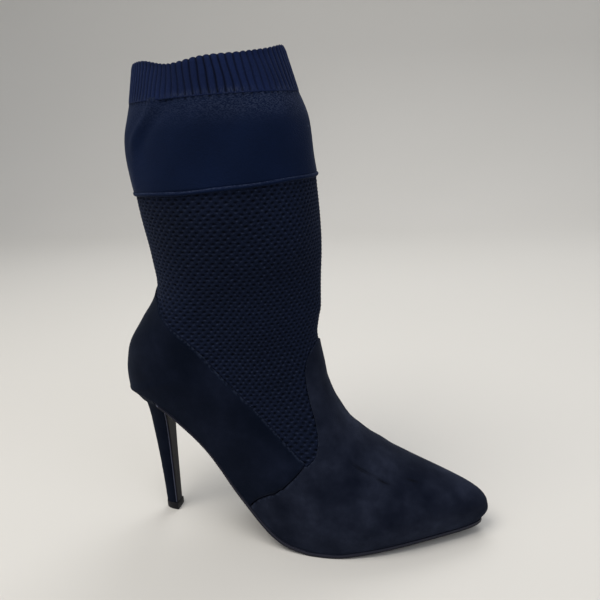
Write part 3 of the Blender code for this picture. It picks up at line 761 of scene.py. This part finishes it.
def holes(turn, height):
    """Depth of the pierced knit from 0 to 1: bells on two sets of points, each a grid with
    its rows two apart, one set half a pitch round and one row up from the other. Waves
    across both directions make the points a little uneven."""
    pitch = 2 * np.pi * KNIT_RADIUS / KNIT_HOLES
    across = turn / (2 * np.pi) * KNIT_HOLES
    across = across + 0.07 * np.sin(23 * turn + 410 * height)
    across = across + 0.05 * np.sin(31 * turn - 670 * height)
    up = height / KNIT_ROW / 2 + 0.035 * np.sin(37 * turn + 530 * height)
    up = up + 0.02 * np.sin(8 * turn)
    depth = 0
    for shift in (0, 0.5):
        du = ((across + shift) % 1 - 0.5) * pitch / HOLE_HALF_WIDTH
        dv = ((up + shift) % 1 - 0.5) * 2 * KNIT_ROW / HOLE_HALF_HEIGHT
        depth = depth + np.exp(-(du**2) - dv**2)
    return depth


def find_on_body(turn, height):
    """Station and share of the way round where the body has this turn about the shaft and
    this height, and the miss that is left in metres. Each starts from the nearest of a
    coarse set of points and takes Newton steps on its misses in turn and in height."""
    stations = np.linspace(8, 25, 110)[:, None]
    ways = np.linspace(0, 1, 121)[None, :-1]
    known = body(stations, ways)
    known_turn = turn_of(known)
    down, across = 8, 6
    coarse_turn, coarse_height = turn[::down, ::across], height[::down, ::across]
    best = np.empty(coarse_turn.shape + (2,))
    for i, (turns, heights) in enumerate(zip(coarse_turn, coarse_height)):
        off = np.abs(np.angle(np.exp(1j * (known_turn - turns[:, None, None]))))
        miss = (off * KNIT_RADIUS) ** 2 + (known[..., 2] - heights[:, None, None]) ** 2
        pick = miss.reshape(len(turns), -1).argmin(axis=1)
        row, column = np.unravel_index(pick, known_turn.shape)
        best[i, :, 0] = stations[row, 0]
        best[i, :, 1] = ways[0, column]
    rows, columns = turn.shape
    guess = np.repeat(np.repeat(best, down, axis=0), across, axis=1)[:rows, :columns]
    station, around = guess[..., 0].copy(), guess[..., 1].copy()

    def misses(station, around):
        """How far the body at these places is off in turn, as a length, and in height."""
        point = body(station, around % 1)
        x = (point[..., 0] - KNIT_CENTRE) / KNIT_HALF_DEPTH
        y = point[..., 1] / KNIT_HALF_WIDTH
        return KNIT_RADIUS * (x * np.sin(turn) - y * np.cos(turn)), point[..., 2] - height

    step = 0.002
    for _ in range(9):
        aside, above = misses(station, around)
        aside_on, above_on = misses(station + step, around)
        aside_up, above_up = misses(station, around + step)
        aside_on, above_on = (aside_on - aside) / step, (above_on - above) / step
        aside_up, above_up = (aside_up - aside) / step, (above_up - above) / step
        scale = aside_on * above_up - aside_up * above_on
        scale = np.where(np.abs(scale) < 1e-8, 1e-8, scale)
        on = np.clip((aside * above_up - aside_up * above) / scale, -0.5, 0.5)
        up = np.clip((aside_on * above - aside * above_on) / scale, -0.03, 0.03)
        station = np.clip(station - on, 8, 25.5)
        around = around - up
    aside, above = misses(station, around)
    return station, around % 1, np.hypot(aside, above)


def turn_of(point):
    """Turn about the shaft's upright middle, 0 at the front, on the knit's own ellipse."""
    y = point[..., 1] / KNIT_HALF_WIDTH
    return np.arctan2(y, (point[..., 0] - KNIT_CENTRE) / KNIT_HALF_DEPTH)


def make_knit(finish):
    """The pierced knit's face. Rows are level and columns upright, as they were knitted,
    and each hole is a pit with a raised yarn lip under it. Slow waves make it slack where
    no edge holds it down."""
    levels = np.arange(KNIT_LOW, KNIT_HIGH, KNIT_ROW / 4)
    turns = np.linspace(-np.pi, np.pi, KNIT_HOLES * 6 + 1)
    turn, level = np.meshgrid(turns, levels)
    station, around, miss = find_on_body(turn, level)
    around[:, -1] = around[:, 0]
    station[:, -1] = station[:, 0]
    side = np.minimum(around, 1 - around)
    over_tongue, over_quarter = station - tongue_station(side), side - quarter_around(station)
    shown = (over_tongue > -0.30) & (over_quarter > -0.016)
    shown = shown & (station < HEM_STATION + 0.3) & (miss < 0.0006)
    keep = shown[:-1, :-1] & shown[1:, :-1] & shown[:-1, 1:] & shown[1:, 1:]
    uneven = 1.1 + 0.22 * np.sin(17 * turn + 760 * level) * np.sin(29 * turn - 590 * level)
    slack = np.sin(3 * turn + 26 * level) + np.sin(5 * turn - 44 * level + 1.7)
    pierced = np.clip(holes(turn, level) * uneven, 0, 1)
    lip = holes(turn, level + 0.45 * KNIT_ROW)
    height = -KNIT_DEPTH - HOLE_DEPTH * pierced + LIP_HEIGHT * lip
    free = ease((over_tongue + 0.1) / 1.2) * ease((over_quarter + 0.01) / 0.05)
    height = height + KNIT_SLACK * slack * free * ease((HEM_STATION - station) / 0.8)
    grid = skin(station, around, height)
    # Painted highlight on the lip under each hole, and painted shade in each pit
    flecks_and_highlight = np.clip(1.3 * lip - 1.2 * pierced - 0.25, 0, 1)
    marks = {"painted_shade": pierced, "flecks_and_highlight": flecks_and_highlight}
    knit = piece_from("knit_shaft", grid, finish, keep=keep, values=marks)
    wear(knit, "upper", "upper")


def make_cuff(finish):
    """The plain knit cuff, slack over the hem: a ridge and a trough make the upright crease
    near the back, slow waves the slack, and the band's ribs pull in its upper edge."""
    rows = np.linspace(HEM_STATION + 0.03, BAND_STATION + 0.04, 90)[:, None]
    around = np.linspace(0, 1, 261)[None, :-1]
    station, around = np.broadcast_arrays(rows, around)
    share = (station - HEM_STATION) / (BAND_STATION - HEM_STATION)
    line = 0.118 + 0.058 * ease((share - 0.42) / 0.55)
    within = ease((share - 0.30) / 0.25) * ease((1.04 - share) / 0.06)
    crease = CUFF_CREASE * trough(around - line, 0.014)
    crease = within * (crease - CUFF_HOLLOW * trough(around - line - 0.028, 0.018))
    lower = CUFF_FOLD * trough(around - 0.105 - 0.01 * share, 0.02)
    lower = lower * ease((0.5 - share) / 0.3) * ease(share / 0.1)
    slack = CUFF_SLACK * np.sin(2 * np.pi * (3 * around + 0.4 * share))
    slack = slack + CUFF_RIPPLE * np.sin(2 * np.pi * (7 * around - 0.7 * share))
    slack = slack * np.sin(np.pi * share)
    ribs = np.abs(np.sin(np.pi * rib_phase(BAND_STATION, around))) ** 0.7
    pull = -RIB_HEIGHT * ease((share - 0.88) / 0.12) * (1.1 - 0.8 * ribs)
    hem = -HEM_SINK * ease(1 - share / 0.04)
    height = crease + lower + slack + pull + hem
    # Painted shade in the grooves between the ribs at the cuff's top, and paler yarn flecks over
    # its upper part, most round one side
    groove_shade = ease((share - 0.93) / 0.05) * np.clip(0.9 - 1.3 * ribs, 0, 0.8)
    flecks = 0.75 * ease((share - 0.55) / 0.35) * (0.45 + 0.55 * trough(around - 0.40, 0.10))
    marks = {"painted_shade": groove_shade, "flecks_and_highlight": flecks}
    cuff = piece_from("cuff_knit", skin(station, around, height), finish, values=marks, closed=True)
    thicken(cuff, WALL)
    wear(cuff, "cuff", "cuff")


def rib_phase(station, around):
    """Which rib a point is on: evenly round, crowded by a soft step near the back, leaning
    there by a bell, and waving a little on the way up."""
    start, end = np.tanh(-0.15 / 0.06), np.tanh(0.85 / 0.06)
    crowd = 0.022 * (np.tanh((around - 0.15) / 0.06) - start - around * (end - start))
    share = station - BAND_STATION
    lean = 0.012 * trough(around - 0.17, 0.05) * share
    wave = 0.0009 * np.sin(5 * share + 2 * np.pi * 11 * around) * ease(share / 0.3)
    return RIBS * (around + crowd - lean + wave)


def make_rib_band(finish):
    """The ribbed band: ribs are the folded wave |sin| to a power below 1, so round backed
    with narrow grooves, and they stand up as small loops along the slack rim."""
    rows = np.linspace(BAND_STATION - 0.02, RIM, 44)[:, None]
    around = np.linspace(0, 1, RIBS * 12 + 1)[None, :-1]
    station, around = np.broadcast_arrays(rows, around)
    share = (station - BAND_STATION) / (RIM - BAND_STATION)
    phase = rib_phase(station, around)
    rib = np.abs(np.sin(np.pi * phase)) ** 0.7
    fade = ease(share / 0.03 + 0.3) * (0.6 + 0.4 * np.sin(2 * np.pi * 2.5 * around) ** 2)
    waves = BAND_WAVE * np.sin(2 * np.pi * (4 * around + 0.1)) * share
    height = RIB_HEIGHT * (rib - 0.75) * fade + waves * ease((1 - share) / 0.2 + 0.3)
    grid = skin(station, around, height)
    grid[..., 2] += RIB_LOOPS * (rib * ease((share - 0.75) / 0.25) - 0.5)
    # Painted shade in the grooves between the ribs, and paler yarn flecks near the band's foot and
    # along its rim
    groove_shade = np.clip(1.15 - 1.5 * rib, 0, 0.9) * fade
    worn = 0.5 + 0.5 * np.sin(2 * np.pi * 7 * around) * np.sin(2 * np.pi * 3 * around + 1)
    flecks = 0.9 * trough(share - 0.05, 0.09) * worn + 0.5 * trough(share - 1, 0.03)
    marks = {"painted_shade": groove_shade, "flecks_and_highlight": flecks}
    band = piece_from("rib_band_knit", grid, finish, values=marks, closed=True)
    thicken(band, WALL)
    wear(band, "rib_band", "rib_band")


def tube(path, radius, sides):
    """Rings of points round a closed path, each in the plane of the path's own normal."""
    ahead = np.roll(path, -1, axis=0) - np.roll(path, 1, axis=0)
    ahead /= np.linalg.norm(ahead, axis=1)[:, None]
    out = path - path.mean(axis=0)
    out -= ahead * np.sum(out * ahead, axis=1)[:, None]
    out /= np.linalg.norm(out, axis=1)[:, None]
    up = np.cross(ahead, out)
    angle = np.linspace(0, 2 * np.pi, sides, endpoint=False)[None, :, None]
    radius = radius[:, None, None]
    return path[:, None] + radius * (np.cos(angle) * out[:, None] + np.sin(angle) * up[:, None])


def make_hem(finish):
    """The cuff's rolled hem: a soft round roll, slightly uneven as it was turned."""
    around = np.linspace(0, 1, 360, endpoint=False)
    station = HEM_STATION + 0.012 * np.sin(2 * np.pi * 3 * around)
    station = station + 0.008 * np.sin(2 * np.pi * 8 * around)
    path = skin(station, around, -HEM_SINK)
    radius = HEM_RADIUS * (1 + 0.05 * np.sin(2 * np.pi * 11 * around))
    rings = tube(path, radius, 14)
    rings = np.concatenate([rings, rings[:1]])
    middle = rings.mean(axis=1, keepdims=True)
    up = (rings - middle)[..., 2] / HEM_RADIUS
    away = np.linalg.norm(rings[..., :2], axis=-1) > np.linalg.norm(middle[..., :2], axis=-1)
    # Painted shade on the roll's underside, and a painted highlight along its upper outer side
    marks = {"painted_shade": 0.5 * np.clip(-up, 0, 1), "flecks_and_highlight": trough(up - 0.75, 0.35) * away}
    hem = piece_from("hem_roll", rings, finish, values=marks, closed=True, turn=True)
    wear(hem, "hem", "hem")


def sole_height(along):
    """Height of the feather edge at distances along the sole."""
    edge = feather(np.linspace(0, REAR, 600))[::-1]
    return np.interp(along, edge[:, 0], edge[:, 3])


def outline(station, grow):
    """Outer and inner points of the feather outline at stations, moved out by grow."""
    edge = feather(station)
    both = np.vstack([edge[::-1, [0, 1]], edge[1:, [0, 2]]])
    slope = np.gradient(both, axis=0)
    normal = np.column_stack([slope[:, 1], -slope[:, 0]])
    normal /= np.linalg.norm(normal, axis=1)[:, None]
    both = both + grow * normal
    both = np.column_stack([both, sole_height(both[:, 0])])
    return both[: len(edge)][::-1], both[len(edge) - 1 :]


def breast_arc():
    """Centre, start angle and radius of the arc that turns the sole down the breast."""
    edge = feather(np.array([BREAST_STATION - 0.05, BREAST_STATION, BREAST_STATION + 0.05]))
    heading = edge[2] - edge[0]
    lean = np.arctan2(heading[3], heading[0])
    radius = BREAST_RADIUS + FLAP_THICKNESS
    start = edge[1][[0, 3]] - (0, SOLE_FIT)
    return start + radius * np.array([-np.sin(lean), np.cos(lean)]), lean, radius


def flap_rows():
    """Rows of the breast flap, round the arc and straight down: inner point, and the way
    out from the heel."""
    centre, lean, radius = breast_arc()
    turn = np.linspace(lean, 1.5 * np.pi, 24)[1:]
    inner = centre + radius * np.column_stack([np.sin(turn), -np.cos(turn)])
    normal = -np.column_stack([np.sin(turn), -np.cos(turn)])
    foot = np.array([HEEL_FOOT_FRONT + SOLE_FIT, LIFT_HEIGHT + SOLE_FIT])
    drop = inner[-1] + (foot - inner[-1]) * np.linspace(0, 1, FLAP_ROWS + 1)[1:, None]
    return np.vstack([inner, drop]), np.vstack([normal, np.repeat(normal[-1:], FLAP_ROWS, axis=0)])


def heel_table(column, share):
    """A column of the heel's sections at shares of its front's height, smoothed."""
    table = np.array(HEEL_SECTIONS)[::-1]
    fine = smooth(table, np.linspace(0, len(table) - 1, 200))
    return np.interp(share, fine[:, 0], fine[:, column])


def heel_front(height):
    """Where the heel's front face stands at a height, behind the flap."""
    centre, _, radius = breast_arc()
    reach = radius + SOLE_FIT
    rise = np.clip(height - centre[1], 0, reach)
    share = np.clip((centre[1] - height) / (centre[1] - LIFT_HEIGHT), 0, 1)
    straight = share * (HEEL_FOOT_FRONT - centre[0] + reach)
    return centre[0] - np.sqrt(reach**2 - rise**2) + straight


def make_outsole(finish):
    """The outsole, a strip with its lower edges rounded, from the toe over the shank and
    down the heel's breast. A ring at each place goes across its top, round one lower
    edge, across its bottom and round the other."""
    toe = np.linspace(0, 2, 30, endpoint=False)
    stations = np.concatenate([toe, np.linspace(2, BREAST_STATION, 120)])
    outer, inner = outline(stations, SOLE_EDGE)
    middle = (outer + inner) / 2
    slope = np.gradient(middle[:, [0, 2]], axis=0)
    slope[middle[:, 2] < feather_height() + SOLE_FIT] = (-1, 0)
    slope /= np.linalg.norm(slope, axis=1)[:, None]
    rise = (middle[:, 2] - feather_height()) / HEEL_RISE
    depth = np.interp(rise, [0, 0.5], [SOLE_THICKNESS, FLAP_THICKNESS])
    down = np.column_stack([-slope[:, 1], slope[:, 0]])
    flap, out = flap_rows()
    low, high = LIFT_HEIGHT + SOLE_FIT, seat_height() - SOLE_FIT
    half = HEEL_WIDTH / 2 * heel_table(3, (flap[:, 1] - low) / (high - low)) - SOLE_FIT
    turned = ease(np.arange(1, len(flap) + 1) / (len(flap) - FLAP_ROWS))
    outer_y = outer[-1, 1] + (-half - outer[-1, 1]) * turned
    inner_y = inner[-1, 1] + (half - inner[-1, 1]) * turned
    flap_outer = np.column_stack([flap[:, 0], outer_y, flap[:, 1]])
    flap_inner = np.column_stack([flap[:, 0], inner_y, flap[:, 1]])
    top_out = np.vstack([outer - (0, 0, SOLE_FIT), flap_outer])
    top_in = np.vstack([inner - (0, 0, SOLE_FIT), flap_inner])
    down = np.vstack([down, out])
    depth = np.concatenate([depth, np.full(len(flap), FLAP_THICKNESS)])
    width = np.linalg.norm(top_in - top_out, axis=1)
    round_off = np.minimum(SOLE_ROUNDING, width / 2.2)[:, None]
    angle = np.linspace(0, np.pi / 2, 5)[None, :]
    corner = np.zeros((len(depth), 1))
    side = np.hstack([corner, depth[:, None] - round_off * (1 - np.sin(angle))])
    tuck = np.hstack([corner, round_off * (1 - np.cos(angle))])
    fall = np.stack([down[:, 0], 0 * down[:, 0], down[:, 1]], axis=-1)[:, None]
    across = ((top_in - top_out) / np.maximum(width, 1e-6)[:, None])[:, None]
    outer_edge = top_out[:, None] + fall * side[..., None] + across * tuck[..., None]
    inner_edge = top_in[:, None] + fall * side[..., None] - across * tuck[..., None]
    cross = np.linspace(0, 1, 8)[None, 1:-1, None]
    bottom = outer_edge[:, -1:] + (inner_edge[:, -1:] - outer_edge[:, -1:]) * cross
    top = top_in[:, None] + (top_out - top_in)[:, None] * cross
    rings = np.concatenate([outer_edge, bottom, inner_edge[:, ::-1], top], axis=1)
    # Painted highlight along the sole's two upper edges: faint along the foot, full down the breast
    # flap
    edge_highlight = np.concatenate([[1, 0.3], np.zeros(14), [0.3, 1], np.zeros(6)])[None, :]
    edge_highlight = edge_highlight * np.where(np.arange(len(rings)) < len(stations), 0.22, 1)[:, None]
    rings[: len(stations), :, 2] = np.maximum(rings[: len(stations), :, 2], 0)
    rings[..., 0] -= LENGTH / 2
    outsole = solid_from("outsole_moulded", rings, finish, sharp=38, values={"edge_highlight": edge_highlight})
    wear(outsole, "outsole", "outsole")


def make_insole(finish):
    """The insole in its sock: a thin board that follows the sole, crowned a little."""
    inset = SUEDE + WALL + LINING_DEPTH
    stations = np.linspace(0.4, REAR - 1.0, 110)
    outer, inner = outline(stations, -inset)
    wide = inner[:, 1] - outer[:, 1] > 0.012
    outer, inner = outer[wide], inner[wide]
    across = np.linspace(0, 1, 17)[None, :, None]
    top = outer[:, None] + (inner - outer)[:, None] * across
    crown = INSOLE_THICKNESS * (0.55 + 0.45 * (1 - np.abs(2 * across[..., 0] - 1) ** 4))
    top[..., 2] += crown
    bottom = outer[:, None] + (inner - outer)[:, None] * across[:, ::-1]
    rings = np.concatenate([top, bottom], axis=1) - (LENGTH / 2, 0, 0)
    insole = solid_from("insole_sock", rings, finish, sharp=50)
    wear(insole, "insole", "insole")


def make_heel(finish):
    """The slim heel. Each ring is half an ellipse behind a flat front, from the seat's own
    outline down to the top lift, and the ring's height leans between front and back."""
    angle = np.linspace(-np.pi / 2, np.pi / 2, 49)
    edge = feather(np.linspace(BREAST_STATION - 1, REAR, 300))[::-1]
    rear = edge[0][0]
    x = rear + (SEAT_REACH - rear) * (1 - np.cos(angle))
    outer_y, inner_y, z = (np.interp(x, edge[:, 0], edge[:, i]) for i in (1, 2, 3))
    seat = np.column_stack([x, np.where(angle < 0, outer_y, inner_y), z - SOLE_FIT])
    low, high = LIFT_HEIGHT + SOLE_FIT, seat_height() - SOLE_FIT
    table = np.array(HEEL_SECTIONS)
    fine = smooth(table, np.linspace(0, len(table) - 1, 90))
    front_z, rear_z = low + (high - low) * fine[:, 0], low + (high - low) * fine[:, 1]
    front_x, rear_x = heel_front(front_z), SEAT_REACH * fine[:, 2]
    bow = np.cos(angle)[None, :]
    ring_x = front_x[:, None] + (rear_x - front_x)[:, None] * bow
    ring_y = HEEL_WIDTH / 2 * fine[:, 3][:, None] * np.sin(angle)[None, :]
    ring_z = front_z[:, None] + (rear_z - front_z)[:, None] * bow
    rings = np.stack([ring_x, ring_y, ring_z], axis=-1)
    blend = np.linspace(0, 1, 9)[1:-1, None, None]
    neck = seat + (rings[0] - seat) * blend
    neck[..., 0] += HEEL_HOLLOW * np.sin(np.pi * blend[..., 0]) * bow
    rings = np.concatenate([seat[None], neck, rings]) - (LENGTH / 2, 0, 0)
    seam = np.zeros((len(rings), 1))
    seam[-1] = 0.8
    heel = solid_from("heel_suede", rings[::-1], finish, sharp=50, values={"edge": seam})
    wear(heel, "heel", "heel")


def make_top_lift(finish):
    """The top lift: a thin D under the heel, its edges rounded off a little."""
    angle = np.linspace(-np.pi / 2, np.pi / 2, 41)
    _, _, back, width = HEEL_SECTIONS[-1]
    rear_x = SEAT_REACH * back - LIFT_EDGE
    front_x = HEEL_FOOT_FRONT + SOLE_FIT + FLAP_THICKNESS + LIFT_EDGE
    rings = []
    for height, inset in (
        (0.0, 0.0005),
        (0.00015, 0.0002),
        (0.0005, 0.0),
        (LIFT_HEIGHT - 0.0004, 0.0),
        (LIFT_HEIGHT - 0.0001, 0.0002),
        (LIFT_HEIGHT, 0.0004),
    ):
        x = front_x - inset + (rear_x - front_x + 2 * inset) * np.cos(angle) - LENGTH / 2
        y = (HEEL_WIDTH / 2 * width + LIFT_EDGE - inset) * np.sin(angle)
        rings.append(np.column_stack([x, y, np.full_like(x, height)]))
    lift = solid_from("top_lift_moulded", np.array(rings), finish, sharp=50)
    wear(lift, "top_lift", "top_lift")


def make_floor(finish):
    """Floor and backdrop in one sheet: level, then a quarter round, then upright."""
    radius, reach, wide = 0.9, 1.1, 9.0
    bend = np.linspace(0, np.pi / 2, 24)
    run = np.concatenate([[-12.0, 0.0], reach + radius * np.sin(bend), [reach + radius]])
    rise = np.concatenate([[0.0, 0.0], radius * (1 - np.cos(bend)), [3.5]])
    across = np.linspace(-wide, wide, 9)[None, :]
    grid = np.stack(np.broadcast_arrays(across, run[:, None], rise[:, None]), axis=-1)
    floor = piece_from("floor", grid, finish)


def make_lamp(name, place, aim, size, power, colour):
    """A soft square lamp at a place, aimed at a point."""
    lamp = bpy.data.lights.new(name, "AREA")
    lamp.shape = "SQUARE"
    lamp.size = size
    lamp.energy = power
    lamp.color = linear(colour)[:3]
    item = bpy.data.objects.new(name, lamp)
    bpy.context.scene.collection.objects.link(item)
    item.location = place
    item.rotation_euler = (Vector(aim) - Vector(place)).to_track_quat("-Z", "Y").to_euler()


def make_light():
    """A pale room: even light from all round, a broad lamp over the left, a fill from the
    right and a lamp from behind."""
    world = bpy.data.worlds.new("room")
    world.use_nodes = True
    sky = world.node_tree.nodes["Background"]
    sky.inputs["Color"].default_value = linear("#f1f3f7")
    sky.inputs["Strength"].default_value = 0.56
    bpy.context.scene.world = world
    make_lamp("key", (-0.40, -0.50, 1.50), (0, 0, 0.10), 0.9, 15.5, "#fffaf2")
    make_lamp("fill", (1.15, -0.75, 0.95), (0, 0, 0.12), 1.1, 4.5, "#f2f6ff")
    make_lamp("back", (0.1, 0.9, 1.3), (0, 0, 0.2), 0.9, 7.0, "#ffffff")


def make_camera():
    """The camera, rolled a little, as the photograph was held."""
    camera = bpy.data.cameras.new("camera")
    camera.lens = CAMERA_LENS
    camera.sensor_width = 36
    item = bpy.data.objects.new("camera", camera)
    bpy.context.scene.collection.objects.link(item)
    ahead = (Vector(CAMERA_AIM) - Vector(CAMERA_PLACE)).normalized()
    level = ahead.cross(Vector((0, 0, 1))).normalized()
    upright = level.cross(ahead)
    roll = np.radians(CAMERA_ROLL)
    up = upright * np.cos(roll) + level * np.sin(roll)
    right = ahead.cross(up)
    turn = Matrix((right, up, -ahead)).transposed()
    item.matrix_world = Matrix.Translation(CAMERA_PLACE) @ turn.to_4x4()
    bpy.context.scene.camera = item


# Microfibre suede cloth, brushed: deep matt navy, in lit and shaded copies of one cloth. The
# vamp's is painted paler for the light from above, the quarter's nearly black and the heel's
# darkest, as painted shade.
vamp_suede = suede_finish("suede_cloth_painted_lit_on_vamp", "#0a0f1c", "#242938", "#7c8496")
quarter_suede = suede_finish("suede_cloth_painted_shaded_on_quarter", "#040a18", "#111727", "#6c7486")
heel_suede = suede_finish("suede_cloth_painted_deep_shade_on_heel", "#040917", "#0e1422", "#5c6474")

# Textured polyester yarn, machine knitted: matt navy. The pierced knit reads darkest, with
# holes painted black as shade, the plain knit is smooth and even, and the rib copy is painted paler
# for the light the ribs catch.
pierced_knit = knit_finish("polyester_pierced_knit", "#080e1c", "#121a2f", (1.0, 1.0, 2.2))
plain_knit = knit_finish("polyester_plain_knit", "#060f22", "#0b1834", (1.0, 1.0, 2.0))
rib_knit = knit_finish("polyester_rib_knit", "#0e1730", "#162246", (2.0, 2.0, 0.5))

# Moulded thermoplastic rubber: black and satin, with a greyish painted highlight along its upper
# edge
rubber = moulded_finish("moulded_rubber", "#0b0a14", "#4a4f64", 0.48, 0.06, 0.0012)

# Moulded polyurethane: plain black, hard and slightly glossier than the sole
lift_plastic = moulded_finish("moulded_polyurethane", "#0d0d14", "#0d0d14", 0.45, 0.06, 0.0010)

# Brushed tricot: dark and without any shine, so that the inside reads as shadow
tricot = inner_finish("brushed_tricot", "#090d1a", 0.9, 0.0010)

# Coated paper insole stock: black, with a dull gleam and a fine pebble
insole_stock = inner_finish("coated_insole_stock", "#101114", 0.55, 0.0014)

# Painted board: pale, even and matt, so that only the boot's shadow marks it
board = stage_finish("painted_board", "#d3d1cd", 0.9)

make_vamp(vamp_suede)
make_quarter(quarter_suede)
make_lining(tricot)
make_knit(pierced_knit)
make_cuff(plain_knit)
make_hem(plain_knit)
make_rib_band(rib_knit)
make_outsole(rubber)
make_insole(insole_stock)
make_heel(heel_suede)
make_top_lift(lift_plastic)
make_floor(board)
make_light()
make_camera()
bpy.context.scene.view_settings.view_transform = "Standard"
